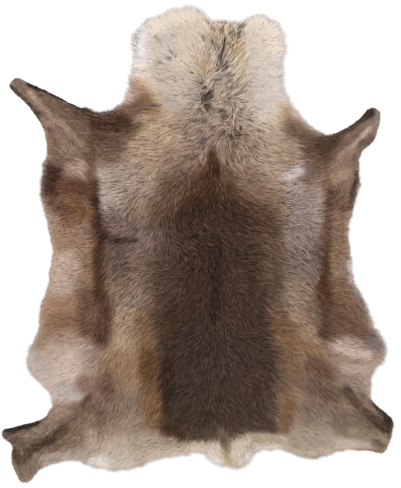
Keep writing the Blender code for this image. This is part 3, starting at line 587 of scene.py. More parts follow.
# Tufts of hair on top of the coat: where their roots are, how far these spread, which way the
# tips point and how far that fans out, both in degrees, how many strands there are and how long
# they are in millimetres.
Tuft = namedtuple("Tuft", "place x y reach_x reach_y heading fan strands length colour")
TUFTS = [Tuft(*row) for row in (
    # Painted shadow: dark strands that draw the shadow of the parting.
    ("parting_line", 222, 53, 0.4, 1.5, 77, 5, 24, 40, (60, 50, 54)),
    ("parting_line_top", 223.4, 47, 0.3, 1.5, 78, 4, 16, 26, (40, 32, 36)),
    ("parting_line_low", 219.5, 61, 0.6, 3, 74, 10, 30, 24, (84, 72, 70)),
    ("parting_line_middle", 221, 58, 0.5, 1.5, 76, 5, 26, 36, (58, 48, 50)),
    ("parting_beside", 226.5, 50, 0.8, 4, 74, 10, 8, 22, (112, 100, 94)),
    ("parting_left", 217.5, 52, 0.8, 4, 76, 8, 8, 24, (120, 106, 98)),
    ("parting_fan", 223, 70, 4, 1.6, 84, 110, 34, 24, (96, 84, 74)),
    ("parting_fan_core", 223, 73, 3.5, 1.2, 86, 80, 26, 16, (86, 74, 66)),
    ("parting_fan_low", 227, 78, 4, 1.5, 40, 50, 16, 20, (120, 106, 100)),
    ("notch_dark", 234, 42, 1.4, 2.6, 102, 50, 11, 28, (72, 62, 58)),
    ("notch_dark_right", 234.5, 40, 2.2, 2, 50, 56, 12, 28, (84, 72, 67)),
    ("notch_dark_top", 234, 37, 1.6, 1.8, 110, 44, 10, 24, (72, 62, 58)),
    ("notch_dark_right_top", 237, 36, 2.2, 1.8, 52, 50, 10, 24, (92, 80, 74)),
    ("notch_strokes", 231, 50, 4, 3, 42, 24, 18, 24, (120, 106, 92)),
    ("notch_right_wisps", 239, 30, 4, 3, 58, 40, 30, 22, (124, 110, 96)),
    ("notch_left_dark", 213, 48, 1, 3, 97, 24, 16, 20, (116, 100, 84)),
    ("notch_grey", 214, 33, 2.5, 2.5, 98, 40, 16, 20, (150, 134, 120)),
    ("notch_rust", 222, 32, 2, 1.5, 90, 40, 12, 14, (164, 118, 92)),
    ("notch_top_wisp", 226, 25, 1, 2, 92, 24, 6, 18, (130, 114, 96)),
    ("notch_tip_left", 209.5, 24, 0.8, 1.2, 120, 30, 7, 12, (136, 118, 104)),
    ("neck_inner_strokes", 206, 42, 2, 3, 125, 24, 12, 20, (140, 122, 110)),
    ("left_arc", 152, 34, 1.0, 1.6, 318, 12, 7, 36, (168, 156, 151)),
    ("left_arc_low", 156, 38, 1.4, 1.4, 318, 12, 7, 26, (156, 144, 139)),
    ("left_short", 170, 34, 0.7, 0.9, 318, 10, 5, 20, (160, 148, 143)),
    # Painted shade: darker strands along the crease in the left of the neck.
    ("left_crease", 167, 49, 0.9, 1.1, 316, 12, 9, 32, (148, 134, 129)),
    ("left_crease_end", 176.5, 54, 0.7, 0.9, 262, 24, 7, 14, (124, 110, 105)),
    ("left_crease_back", 175, 61, 1.8, 1.8, 164, 18, 12, 32, (148, 134, 127)),
    ("left_crease_low", 166, 65, 3, 2, 166, 16, 10, 30, (156, 142, 135)),
    ("left_low_lines", 172, 80, 14, 7, 168, 10, 14, 30, (150, 134, 126)),
    ("left_edge_net", 141, 42, 3, 6, 138, 70, 14, 22, (150, 146, 146)),
    ("left_inner_small", 195, 76, 2, 1.5, 150, 20, 5, 18, (124, 106, 96)),
    ("whorl_spot", 204, 86.5, 1.8, 1.4, 300, 150, 24, 9, (66, 54, 46)),
    ("whorl_spot_left", 203, 85, 1.4, 0.8, 150, 60, 12, 12, (88, 74, 66)),
    ("whorl_stroke", 205.5, 97, 1.5, 1.4, 48, 26, 24, 30, (66, 54, 48)),
    ("whorl_stroke_low", 207, 99, 1.6, 1.4, 30, 24, 20, 22, (92, 80, 74)),
    ("whorl_core", 203.8, 97, 2.2, 6, 276, 50, 40, 16, (58, 46, 44)),
    ("whorl_left", 202, 97, 1.5, 4, 176, 50, 8, 22, (126, 110, 102)),
    ("whorl_right", 206, 101, 1.8, 3.5, 14, 56, 12, 20, (106, 92, 86)),
    ("whorl_foot", 203, 104, 2, 2, 326, 44, 26, 26, (64, 50, 48)),
    ("whorl_foot_left", 202, 107, 1.5, 1.4, 236, 50, 24, 16, (92, 78, 72)),
    ("neck_line_left", 190, 96, 8, 0.8, 180, 8, 12, 26, (156, 138, 128)),
    ("neck_strokes", 212, 81, 4, 1.2, 6, 14, 22, 20, (108, 94, 88)),
    ("neck_strokes_right", 225, 79, 3, 1.2, 16, 16, 14, 18, (108, 94, 90)),
    ("low_mauve", 230, 87, 2, 4, 60, 34, 14, 20, (150, 132, 126)),
    ("low_mauve_foot", 226, 99, 2, 3, 50, 30, 14, 20, (134, 118, 110)),
    # Painted shadow: dark mauve strands in the parting at the nape.
    ("nape_parting_shadow", 225, 111, 3, 1.6, 190, 36, 44, 18, (102, 88, 90)),
    ("nape_parting_shadow_low", 228, 115, 3, 1.2, 200, 30, 30, 18, (120, 106, 102)),
    ("nape_line", 208, 137, 1.4, 0.8, 212, 12, 24, 24, (104, 86, 90)),
    ("nape_hollow", 205, 142, 2.5, 2, 220, 20, 30, 16, (124, 106, 108)),
    ("nape_small", 210, 127, 2, 2.5, 290, 60, 16, 12, (122, 102, 92)),
    ("nape_left", 197, 118, 5, 2, 236, 24, 40, 22, (124, 108, 98)),
    ("nape_left_inner", 206, 116, 3, 2, 256, 22, 36, 20, (124, 108, 98)),
    ("nape_curl_right", 241, 127, 0.8, 2, 262, 30, 24, 12, (88, 74, 58)),
    ("nape_curl_low", 241, 134, 2, 1.4, 205, 60, 30, 18, (84, 68, 54)),
    ("nape_curl_middle", 232, 136, 3, 1.2, 190, 70, 24, 16, (84, 68, 54)),
    ("nape_curl_left", 225, 131, 2, 2, 225, 80, 30, 11, (104, 86, 70)),
    ("nape_red", 222.5, 134, 1, 1.5, 260, 30, 12, 11, (112, 72, 54)),
    ("mane_grey_right", 234, 142, 2, 2, 268, 50, 40, 20, (116, 102, 98)),
    ("right_line", 250, 145, 2.5, 0.8, 326, 10, 14, 20, (100, 84, 70)),
    ("right_line_high", 256, 130, 2, 0.6, 328, 12, 10, 16, (118, 102, 98)),
    ("right_line_low", 246, 166, 1.5, 0.8, 315, 14, 14, 16, (100, 76, 60)),
    ("right_line_inner", 242, 170, 1.5, 0.8, 320, 14, 14, 16, (104, 80, 62)),
    ("spine_brown", 213, 152, 2.5, 2, 290, 60, 36, 14, (94, 62, 42)),
    ("spine_brown_low", 216, 158, 1.5, 4, 262, 30, 50, 18, (84, 58, 42)),
    ("spine_black", 211, 168, 1.5, 1.5, 320, 40, 36, 20, (58, 40, 32)),
    ("spine_black_low", 218, 166, 1.4, 6, 266, 16, 60, 24, (60, 42, 32)),
    ("withers_left", 184, 168, 8, 6, 228, 20, 60, 20, (104, 88, 80)),
    ("withers_left_inner", 196, 154, 6, 5, 228, 20, 50, 22, (106, 90, 80)),
    ("withers_middle", 232, 154, 2, 5, 272, 20, 40, 20, (118, 104, 94)),
    ("withers_middle_right", 238, 158, 2, 4, 300, 20, 30, 18, (118, 104, 94)),
    ("withers_right", 252, 180, 8, 3, 345, 20, 30, 20, (126, 108, 94)),
    ("armpit_line", 160, 106, 4, 0.8, 186, 10, 18, 22, (104, 78, 74)),
    ("armpit_edge", 131, 138, 4, 1.2, 322, 16, 12, 14, (92, 70, 56)),
    ("shoulder_lines", 158, 122, 7, 1.2, 174, 10, 16, 20, (138, 102, 80)),
    ("tail_tuft", 223, 434, 2, 5, 266, 16, 70, 22, (104, 86, 70)),
    # Painted shade: dark strands in the fold of the left flank.
    ("flank_left_crease", 104, 235, 5, 4, 222, 60, 70, 15, (62, 46, 42)),
    ("flank_left_crease_middle", 119, 240, 7, 2.4, 204, 56, 70, 14, (62, 46, 42)),
    ("flank_left_crease_inner", 134, 240, 8, 1.2, 196, 30, 40, 16, (86, 68, 60)),
    ("saddle_dark_left", 198, 236, 6, 1, 190, 20, 50, 14, (44, 38, 36)),
)]

# ---------------------------------------------------------------- sizes

PLAN_STEP = 0.0025  # between the points of the plan that the coat is worked out on
FINE_STEP = 0.00105  # between the points of the plan of its ridges
COARSE_STEP = 0.010  # between the points that GROWTH is spread to first
PLAN_MARGIN = 0.040  # of the plan round the hide
FAR_STEPS = 40  # how far the distance from the outline is followed, in grid steps
GAP_STEPS = 3  # half the widest gap between rim locks that is closed, in grid steps
RIM_BLURS = 12  # passes that round off the outline's locks where the hair is long
SHAGGY_FROM, SHAGGY_FULL = 0.012, 0.020  # the hair's lengths between which that sets in
HEIGHT_STEPS, HEIGHT_BLURS = 20, 2  # how far the coat's depth is carried past the outline; its blur
SLOPE_BLURS = 4  # before the way towards the outline is taken

NOISE_CELLS = 256  # of a noise's lattice on a side before it comes back
NOISE_START = 100.37  # the place in its lattice that lies over the origin
GROWTH_CORE = 0.006  # keeps the weight of a near row of GROWTH finite
SWAYS = ((0.28, 0.047, 11), (0.26, 0.019, 12), (0.22, 0.010, 13))  # radians, noise size, its seed
SWAY_FULL, SWAY_LEAST = 0.022, 0.3  # the hair's length that sways in full; least share of the sway
EDGE_WAVES = ((0.0030, 0.026, 31), (0.0016, 0.009, 33))  # moves of patches' edges, size, seed

# Ridges in the coat: their share, size across, reach along the hair, and seed.
LONG_RIDGES = ((0.4, 0.0050, 0.012, 21), (0.9, 0.0026, 0.0065, 22))
SHORT_RIDGES = ((0.35, 0.0042, 0.007, 23), (0.9, 0.0021, 0.0042, 24))
RIDGES_SHORT, RIDGES_LONG = 0.023, 0.028  # the hair's lengths where each kind is alone
RIDGE_HEIGHT = 0.0014
RIDGE_FULL = 0.020  # depth of coat that takes them in full

SLAB_CLEAR = 0.55  # of their step, how far a slab's inner points keep from its rim
SKIN_THICK = 0.002
SKIN_STEP = 0.020  # between the points of the skin's top
SKIN_INSET = 0.10  # how far the skin's edge stands back under the hair, as a share of its length
WOOL_INSET = 0.20  # and the undercoat's
WOOL_STEP = 0.0115  # between the points of its top
WOOL_BOTTOM = 0.0010  # height of its underside, in the skin
WOOL_SHARE = 0.66  # of the coat's depth that the undercoat fills
WOOL_DROP, WOOL_EDGE = 0.55, 0.010  # share of that which is missing at its edge, and how far in
WOOL_LEAST = 0.0006  # least depth of coat that counts
# The undercoat's darkening is painted shade in the depth between the locks.
WOOL_SHADE = 0.55  # of the coat's colour, less so where the coat is calm
COAT_GAIN = 1.06  # of all the coat's colours, for the light that sinks in between the locks

# The coat is sown twice: densely where short hair grows, and more widely where long hair does. A
# sowing covers hair from shortest up to longest, in millimetres, that grows within so far of the
# outline, and sows locks of about that width one step apart.
Sowing = namedtuple("Sowing", "shortest longest within step width")
SOWINGS = (
    Sowing(0, 14.5, 9, 0.00180, 0.0014),
    Sowing(14.5, 99, 9, 0.00276, 0.0021),
)
WISPS = Sowing(12, 99, 0.009, 0.0024, 0.0006)  # fine hairs at the rim
WISP_REACH = 0.0105  # how far past the outline the longest of them reach
WISP_RARE = 1.5  # the higher, the fewer of them reach far
WISP_OUTWARD = 1.1  # how much they turn out over the rim, against the hair's own way
WISP_STRAY = 0.25  # radians
WISP_LENGTH = 1.1  # of the hair's length
WISP_PALE = 0.60  # how much of the rim's colour they take
WISP_SHADE = 0.4  # how much of a lock's shading they have

ROOT_CLEAR = 0.0012  # roots stand at least this far inside the outline
LOCK_UNEVEN = 0.22  # a lock is longer or shorter by up to this share
LOCK_WIDTHS = (0.7, 1.25)  # least and most share of the sowing's width
GUARD_SHARE = 0.07  # of the locks are guard hairs
GUARD_LENGTH, GUARD_WIDTH = 1.18, 1.35  # of another lock's
LOCK_STRAY = 0.10  # radians that single locks stray from the hair's way
LOCK_KNEE = 0.40  # share of a lock's length at which it is widest and turns level
LOCK_HALF = 0.3  # of its width, half a lock's thickness
KNEE_CLEAR = 0.4  # of its width, the least height of its knee over LOWEST
LOCK_KEPT = 0.3  # least share of its length that a lock keeps each time it is cut at the rim
ROOT_HEIGHT, KNEE_HEIGHT = 0.50, 0.93  # shares of the coat's depth
TIP_LIFT = 0.0015  # how unevenly the tips stand
LIFT_FULL = 0.015  # depth of coat that does so in full
LOWEST = 0.0008  # of any part of a lock above the floor
SIDE_TILT, END_TILT = 0.7, 0.3  # how far a lock's normals turn to its sides and to its ends

OVERHANG_SHORT = 0.0026  # how far tips pass the solid's outline where the hair is short
OVERHANG_LONG = 0.0075  # and how much further the last of them reach where it is long
OVERHANG_THIN = 2.6  # how quickly the rim thins out towards those
OVERHANG_FINE = 0.6  # width of the locks that reach there, against the others
LONG_FROM, LONG_FULL = 0.008, 0.024  # the hair's lengths between which it turns long
LONG_MOST = 1.2  # how long any hair counts as, where LONG_FULL counts as 1

CLUMP_SIZE = 0.008  # across a clump of locks that lean together
CLUMP_CELLS, CLUMP_SEED = 128, 51  # clumps on a side before their pattern comes back; its seed
CLUMP_PULL = 0.28  # of the way to its clump's centre that a tip is drawn
CLUMP_FROM, CLUMP_FULL = 0.017, 0.029  # the hair's lengths between which clumps form
CLUMP_INSIDE = 0.006  # how far inside the outline they end

# The root is darker, as the hair's own darker base and as painted shade deep in the coat; the tip is
# paler, as the hair's own colour; the sides are a painted shade darker than the top.
LOCK_TONES = (0.42, 0.86, 0.92, 0.86, 1.14)  # of a lock's colour, at its five points
CALM_LEAST = 0.45  # how rounded and shaded the locks of the smoothest coat are, against the others
TONE_DARK, TONE_PALE = 0.30, 0.11  # how unevenly toned dark and pale coats are
TONE_LIGHT = 0.10  # linear light of a coat between dark and pale
# The ridges' part of the tone is painted light and shade: locks on the ridges' tops lighter, those in
# their hollows darker.
RIDGE_LIGHT_AND_SHADE, CLUMP_TONE, LOCK_TONE = 1.0, 0.25, 0.74  # parts of ridges, clumps and single locks in it
TIP_TONE = 1.1  # and what the tips have beyond the rest of their lock
COLOUR_STRAY = 0.16  # of its length, how far along the hair a lock takes its colour from
# The paling at the rim is partly the long hair's own paler ends and partly painted light: a bright
# glow along the edge of the hide.
RIM_COLOUR = (220, 214, 213)  # that hair pales to at the rim, where it is long
RIM_PALE, RIM_DEPTH = 0.45, 0.006  # how much the coat takes of it at the rim, dying away inwards
DARK_HAIR_SHARE = 0.75  # of its own colour that a dark hair has
DARK_HAIR_LEVEL = -0.4  # height in the ridges below which dark hairs lie
DARK_HAIR_SPREAD = 0.25  # over how much of it they set in

TUFT_RISE = 0.0020  # of a tuft's strands over the coat
TUFT_SPREAD = 0.6  # of its reach, the usual distance of a strand from its middle
TUFT_LENGTHS = (0.7, 1.15)  # least and most share of the tuft's length
TUFT_WIDTHS = (0.0008, 0.0014)
TUFT_TONE = 0.3  # how unevenly toned its strands are

HAIR_SEED = 7  # of all that is random in the locks, from the first sowing to the last tuft
STRIPS = ("hair_left_side", "hair_left_back", "hair_spine", "hair_right_back", "hair_right_side")

# ---------------------------------------------------------------- noise and fields


def on_hide(x, y):
    """The place on the hide, in metres, of a place in the tables."""
    return np.array(((x - MIDDLE[0]) * PIXEL, (MIDDLE[1] - y) * PIXEL))


def ramp(values, start, end, least=0.0, most=1.0):
    """A straight line that is 0 at start and 1 at end, held between least and most."""
    return np.clip((values - start) / (end - start), least, most)


def soft_noise(places, size, seed):
    """Noise from -1 to 1: random values on a square lattice of that size, mixed by 3t^2 - 2t^3."""
    lattice = np.random.default_rng(seed).uniform(-1, 1, (NOISE_CELLS, NOISE_CELLS))
    at = places / size + NOISE_START
    low = np.floor(at).astype(int)
    t = at - low
    t = t * t * (3 - 2 * t)
    x, y = low[..., 0] % NOISE_CELLS, low[..., 1] % NOISE_CELLS
    right, up = (x + 1) % NOISE_CELLS, (y + 1) % NOISE_CELLS
    tx, ty = t[..., 0], t[..., 1]
    below = lattice[y, x] * (1 - tx) + lattice[y, right] * tx
    above = lattice[up, x] * (1 - tx) + lattice[up, right] * tx
    return below * (1 - ty) + above * ty


def layered(noise, layers):
    """The sum of layers of noise: each a strength, then what the noise function asks for."""
    return sum(strength * noise(*settings) for strength, *settings in layers)


class Plan:
    """A square grid over the hide. A field holds one value, or one vector, for each of its points."""

    def __init__(self, step):
        self.step = step
        self.low = np.array(cad_box[0])[:2] - PLAN_MARGIN
        span = np.array(cad_box[1])[:2] + PLAN_MARGIN - self.low
        self.columns, self.rows = np.ceil(span / step).astype(int) + 1

    def places(self):
        """Where the grid's points lie: (row, column, axis)."""
        x = self.low[0] + self.step * np.arange(self.columns)
        y = self.low[1] + self.step * np.arange(self.rows)
        return np.stack(np.meshgrid(x, y), -1)

    def read(self, field, places):
        """The field at places, mixed in straight lines between the grid's points."""
        at = (places - self.low) / self.step
        at = np.clip(at, 0, (self.columns - 1.001, self.rows - 1.001))
        low = at.astype(int)
        x, y = low[..., 0], low[..., 1]
        tx, ty = np.moveaxis(at - low, -1, 0)
        if field.ndim == 3:
            tx, ty = tx[..., None], ty[..., None]
        below = field[y, x] * (1 - tx) + field[y, x + 1] * tx
        above = field[y + 1, x] * (1 - tx) + field[y + 1, x + 1] * tx
        return below * (1 - ty) + above * ty


class Field:
    """Values on a plan's grid, read at any places by a call."""

    def __init__(self, plan, values):
        self.plan, self.values = plan, values

    def __call__(self, places):
        return self.plan.read(self.values, places)


def neighbours(field, edge):
    """The field shifted to each of its eight neighbours, with the length of the shift."""
    rows, columns = field.shape
    padded = np.pad(field, 1, constant_values=edge)
    for dy in (-1, 0, 1):
        for dx in (-1, 0, 1):
            if dx or dy:
                shifted = padded[1 + dy : 1 + dy + rows, 1 + dx : 1 + dx + columns]
                yield shifted, math.hypot(dx, dy)


def steps_from(mask):
    """Distance from the mask in grid steps, up to FAR_STEPS: each pass, a point takes its
    neighbour's distance plus the length of the step to it, if that is less than its own."""
    far = np.where(mask, 0.0, FAR_STEPS)
    for _ in range(FAR_STEPS):
        for shifted, step in neighbours(far, FAR_STEPS):
            far = np.minimum(far, shifted + step)
    return far


def spread_out(field, known, passes):
    """The field carried past its edge: each pass, unknown points take their known neighbours' mean."""
    field = np.where(known, field, 0)
    for _ in range(passes):
        total = sum(shifted for shifted, _ in neighbours(field, 0))
        count = sum(shifted for shifted, _ in neighbours(known.astype(float), 0))
        new = ~known & (count > 0)
        field = np.where(new, total / np.maximum(count, 1), field)
        known = known | new
    return field


def blurred(field, passes):
    """The field after that many passes of a mean over each point and its eight neighbours."""
    for _ in range(passes):
        padded = np.pad(field, 1, mode="edge")
        rows, columns = field.shape
        field = sum(padded[y : y + rows, x : x + columns] for y in range(3) for x in range(3)) / 9
    return field


def cross(a, b):
    """The turn from plan vector a to plan vector b."""
    return a[..., 0] * b[..., 1] - a[..., 1] * b[..., 0]


def unit(vectors):
    """The vectors made 1 long; those next to nothing stay so."""
    return vectors / np.maximum(np.linalg.norm(vectors, axis=-1, keepdims=True), 1e-6)


def heading_vectors(turn):
    """Unit vectors in plan that point at those angles."""
    return np.stack((np.cos(turn), np.sin(turn)), -1)


# ---------------------------------------------------------------- what the solid says


def solid_corners(node):
    """The corners of the node's triangles: (triangle, corner, axis)."""
    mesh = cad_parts[node].data
    mesh.calc_loop_triangles()
    which = np.empty(len(mesh.loop_triangles) * 3, np.int32)
    mesh.loop_triangles.foreach_get("vertices", which)
    return mesh_points(mesh)[which].reshape(-1, 3, 3)


def mesh_points(mesh):
    """Where the mesh's points are: (point, axis)."""
    places = np.empty(len(mesh.vertices) * 3, np.float32)
    mesh.vertices.foreach_get("co", places)
    return places.reshape(-1, 3).astype(float)


def top_heights(plan, corners):
    """The solid's upper surface over the plan, NaN outside it: a grid point in an upward triangle
    takes the mean of the corners' heights, weighted by the areas that it parts the triangle into."""
    flat = corners[..., :2]
    turn = cross(flat[:, 1] - flat[:, 0], flat[:, 2] - flat[:, 0])
    corners, flat, turn = corners[turn > 1e-9], flat[turn > 1e-9], turn[turn > 1e-9]
    first = np.ceil((flat.min(1) - plan.low) / plan.step).astype(int)
    last = np.floor((flat.max(1) - plan.low) / plan.step).astype(int)
    wide = (last - first).max(1) + 1
    heights = np.full(plan.rows * plan.columns, np.nan)
    for most in (4, 8, 12, 16, 24, 48):  # small triangles first, so that few points are tried
        chosen = (wide <= most) & (wide > 0)
        wide[chosen] = 0
        offsets = np.stack(np.meshgrid(np.arange(most), np.arange(most)), -1).reshape(1, -1, 2)
        cells = first[chosen][:, None] + offsets
        at = plan.low + cells * plan.step
        a, b, c = (flat[chosen][:, None, k] for k in range(3))
        shares = np.stack((cross(b - at, c - at), cross(c - at, a - at), cross(a - at, b - at)), -1)
        shares /= turn[chosen][:, None, None]
        holds = shares.min(-1) >= -1e-6
        level = (shares * corners[chosen][:, None, :, 2]).sum(-1)
        index = cells[..., 1] * plan.columns + cells[..., 0]
        np.fmax.at(heights, index[holds], level[holds])
    return heights.reshape(plan.rows, plan.columns)


def floor_rim(corners):
    """The rim of the solid's floor: its points in plan, and the edges between them, directed so
    that the hide is on their left. They are the floor triangles' edges that no other has."""
    floor = corners[np.abs(corners[..., 2]).max(1) < 1e-6][..., :2]
    points, which = np.unique(floor.reshape(-1, 2).round(6), axis=0, return_inverse=True)
    faces = which.reshape(-1, 3)[:, ::-1]  # the floor faces down, so its turn is undone
    edges = np.concatenate((faces[:, :2], faces[:, 1:], faces[:, ::2][:, ::-1]))
    key = np.sort(edges, axis=1) @ (len(points), 1)
    _, back, count = np.unique(key, return_inverse=True, return_counts=True)
    edges = edges[count[back] == 1]
    used, index = np.unique(edges, return_inverse=True)
    return points[used], index.reshape(-1, 2)


def inside_rim(loop, edges):
    """A function that gives how far places are inside the loop, by the nearest of its edges. A
    place is inside if a line from it to one side crosses an odd number of them."""
    a, b = loop[edges[:, 0]], loop[edges[:, 1]]
    run = b - a

    def inward(places):
        """How far inside the loop, and below 0 outside it."""
        found = []
        for some in np.array_split(places, max(1, len(places) // 2000)):  # to spare memory
            x, y = some[:, :1], some[:, 1:]
            spans = (a[:, 1] > y) != (b[:, 1] > y)
            rise = np.where(run[:, 1] == 0, 1, run[:, 1])
            crossed = spans & (x < a[:, 0] + (y - a[:, 1]) * run[:, 0] / rise)
            share = (((some[:, None] - a) * run).sum(2) / (run**2).sum(1)).clip(0, 1)
            off = np.linalg.norm(some[:, None] - a - share[..., None] * run, axis=2).min(1)
            found.append(np.where(crossed.sum(1) % 2 == 1, off, -off))
        return np.concatenate(found)

    return inward


# ---------------------------------------------------------------- fields of the coat


def growth_fields(plan):
    """The hair's way of growth and its length: means of GROWTH's rows weighted by one over
    distance to the fourth. The way sways in soft waves, less where the hair is short."""
    coarse = Plan(COARSE_STEP)
    rows = np.array([(*on_hide(g.x, g.y), math.radians(g.heading), g.length * MM) for g in GROWTH])
    apart = np.linalg.norm(coarse.places()[:, :, None] - rows[:, :2], axis=-1)
    weight = 1 / (apart + GROWTH_CORE) ** 4
    weight /= weight.sum(-1, keepdims=True)
    found = weight @ np.column_stack((heading_vectors(rows[:, 2]), rows[:, 3]))
    places = plan.places()
    found = coarse.read(found, places)
    length = found[..., 2]
    sway = layered(soft_noise, [(by, places, size, seed) for by, size, seed in SWAYS])
    sway *= ramp(length, 0, SWAY_FULL, SWAY_LEAST)
    turn = np.arctan2(found[..., 1], found[..., 0]) + sway
    return Field(plan, heading_vectors(turn)), Field(plan, length)


def combed(plan, way, size, reach, seed):
    """Ridges along the hair: noise of that size smeared along the way that the hair grows, as the
    mean of the noise at points up to reach ahead and behind, scaled to a spread of 1."""
    places = plan.places()
    step = 0.6 * size
    total = soft_noise(places, size, seed)
    for sign in (-step, step):
        at = places
        for _ in range(round(reach / step)):
            at = at + sign * way(at)
            total = total + soft_noise(at, size, seed)
    return total / total.std()


def ridges_of(way, length):
    """The coat's ridges: the short hair's and the long hair's, blended by the hair's length."""
    plan = Plan(FINE_STEP)
    long_hair, short_hair = (
        layered(combed, [(share, plan, way, *settings) for share, *settings in ridges])
        for ridges in (LONG_RIDGES, SHORT_RIDGES)
    )
    short = ramp(length(plan.places()), RIDGES_LONG, RIDGES_SHORT)
    return Field(plan, long_hair + short * (short_hair - long_hair))


def painted(plan, ground, patches):
    """A colour, or a share, over the plan: patches laid over each other in their order, their
    edges moved a little by noise."""
    places = plan.places().reshape(-1, 2)
    moves = [
        layered(soft_noise, [(by, places, size, seed + axis) for by, size, seed in EDGE_WAVES])
        for axis in (0, 1)
    ]
    at = places + np.stack(moves, -1)
    colour = np.tile(np.array(ground, float), (len(at), 1))
    for patch in patches:
        start, end = on_hide(patch.x0, patch.y0), on_hide(patch.x1, patch.y1)
        reach = (1 + patch.soft) * max(patch.r0, patch.r1) * PIXEL
        close = np.abs(at - (start + end) / 2).max(1) < np.abs(end - start).max() / 2 + reach
        weight = patch_share(patch, at[close])
        colour[close] += weight[:, None] * (np.array(patch.colour) - colour[close])
    return Field(plan, colour.reshape(plan.rows, plan.columns, -1))


def patch_share(patch, at):
    """How much of a patch each place gets: it falls from 1 to 0 along 3t^2 - 2t^3 as distance
    over radius goes from 1 - soft to 1 + soft."""
    start = on_hide(patch.x0, patch.y0)
    run = on_hide(patch.x1, patch.y1) - start
    share = ((at - start) @ run / max(run @ run, 1e-12)).clip(0, 1)
    off = np.linalg.norm(at - start - share[:, None] * run, axis=1)
    off /= (patch.r0 + (patch.r1 - patch.r0) * share) * PIXEL
    weight = ((1 + patch.soft - off) / (2 * patch.soft)).clip(0, 1)
    return patch.strength * weight * weight * (3 - 2 * weight)


def linear(colour):
    """Linear light from an sRGB colour, 0 to 255."""
    colour = np.asarray(colour) / 255
    return np.where(colour <= 0.04045, colour / 12.92, ((colour + 0.055) / 1.055) ** 2.4)


def long_share(length):
    """0 for hair as short as LONG_FROM, 1 at LONG_FULL, and LONG_MOST at most."""
    return ramp(length, LONG_FROM, LONG_FULL, 0, LONG_MOST)


def inward_field(plan, solid, length):
    """Distance inwards from the outline, with the gaps between the solid's rim locks closed, and
    the locks' own ends rounded off where the hair is long."""
    filled = steps_from(steps_from(solid) > GAP_STEPS) > GAP_STEPS
    inward = (steps_from(~filled) - steps_from(filled)) * PLAN_STEP
    shaggy = ramp(length.values, SHAGGY_FROM, SHAGGY_FULL)
    return Field(plan, inward + shaggy * (blurred(inward, RIM_BLURS) - inward))


Coat = namedtuple("Coat", "inward height way length ridge colour uneven")


def coat_of(corners):
    """All the coat's fields, from the solid's triangles and the tables. Its colour pales towards
    the rim by RIM_PALE e^(-distance / RIM_DEPTH)."""
    plan = Plan(PLAN_STEP)
    heights = top_heights(plan, corners)
    solid = ~np.isnan(heights)
    way, length = growth_fields(plan)
    inward = inward_field(plan, solid, length)
    colour = painted(plan, COAT_GROUND, PATCHES)
    # The coat pales towards the rim, partly as the long hair's paler ends and partly as painted light,
    # a bright glow along the edge.
    rim = RIM_PALE * long_share(length.values) * np.exp(-np.maximum(inward.values, 0) / RIM_DEPTH)
    colour.values += rim[..., None] * (np.array(RIM_COLOUR) - colour.values)
    height = Field(plan, blurred(spread_out(heights, solid, HEIGHT_STEPS), HEIGHT_BLURS))
    ridge = ridges_of(way, length)
    return Coat(inward, height, way, length, ridge, colour, painted(plan, (1.0,), UNEVENNESS))


def calm_of(coat, places):
    """How rounded and shaded the locks are: CALM_LEAST where the coat is smoothest, up to 1."""
    return (CALM_LEAST + (1 - CALM_LEAST) * coat.uneven(places)).clip(CALM_LEAST, 1)


# ---------------------------------------------------------------- meshes


def made_mesh(name, points, faces):
    """A new smooth piece from arrays: points (n, 3) and triangles (m, 3)."""
    mesh = bpy.data.meshes.new(name)
    mesh.vertices.add(len(points))
    mesh.vertices.foreach_set("co", points.astype(np.float32).ravel())
    mesh.loops.add(faces.size)
    mesh.loops.foreach_set("vertex_index", faces.astype(np.int32).ravel())
    mesh.polygons.add(len(faces))
    mesh.polygons.foreach_set("loop_start", np.arange(0, faces.size, 3, dtype=np.int32))
    mesh.update(calc_edges=True)
    mesh.polygons.foreach_set("use_smooth", np.ones(len(faces), bool))
    mesh.validate()
    piece = bpy.data.objects.new(name, mesh)
    bpy.context.scene.collection.objects.link(piece)
    return piece


def tint(piece, colours):
    """Gives the piece's points their linear colours, as the attribute that its material reads."""
    layer = piece.data.color_attributes.new("coat", "FLOAT_COLOR", "POINT")
    colours = np.column_stack((colours, np.ones(len(colours))))
    layer.data.foreach_set("color", colours.astype(np.float32).ravel())


def lattice_over(low, high, step):
    """Points of a triangular lattice over the plan box from low to high: rows step * sqrt(3) / 2
    apart, every other one moved by half a step."""
    x = np.arange(low[0], high[0], step)
    y = np.arange(low[1], high[1], step * math.sqrt(3) / 2)
    points = np.stack(np.meshgrid(x, y), -1)
    points[1::2, :, 0] += step / 2
    return points.reshape(-1, 2)


def slab(name, rim, edges, step, inward, top, bottom):
    """A closed sheet over the rim: a top surface on a triangular lattice, the same triangles
    facing down as its bottom, and a wall between them. top(places) gives the top's heights."""
    field = lattice_over(rim.min(0), rim.max(0), step)
    field = field[inward(field) > SLAB_CLEAR * step]
    points = [Vector(p) for p in np.concatenate((rim, field))]
    found = delaunay_2d_cdt(points, edges.tolist(), [], 1, 1e-7)
    flat = np.array([tuple(p) for p in found[0]])
    faces = np.array([face for face in found[2] if len(face) == 3])
    turn = cross(flat[faces[:, 1]] - flat[faces[:, 0]], flat[faces[:, 2]] - flat[faces[:, 0]])
    faces = np.where(turn[:, None] > 0, faces, faces[:, ::-1])
    count = len(flat)
    a, b = faces.ravel(), np.roll(faces, -1, axis=1).ravel()
    on_rim = ~np.isin(a * count + b, b * count + a)  # edges that no neighbour runs the other way
    a, b = a[on_rim], b[on_rim]
    wall = np.concatenate((np.stack((a + count, b + count, b), 1), np.stack((a + count, b, a), 1)))
    upper = np.column_stack((flat, top(flat)))
    lower = np.column_stack((flat, np.full(count, bottom)))
    faces = np.concatenate((faces, faces[:, ::-1] + count, wall))
    return made_mesh(name, np.concatenate((upper, lower)), faces)


# ---------------------------------------------------------------- locks of hair


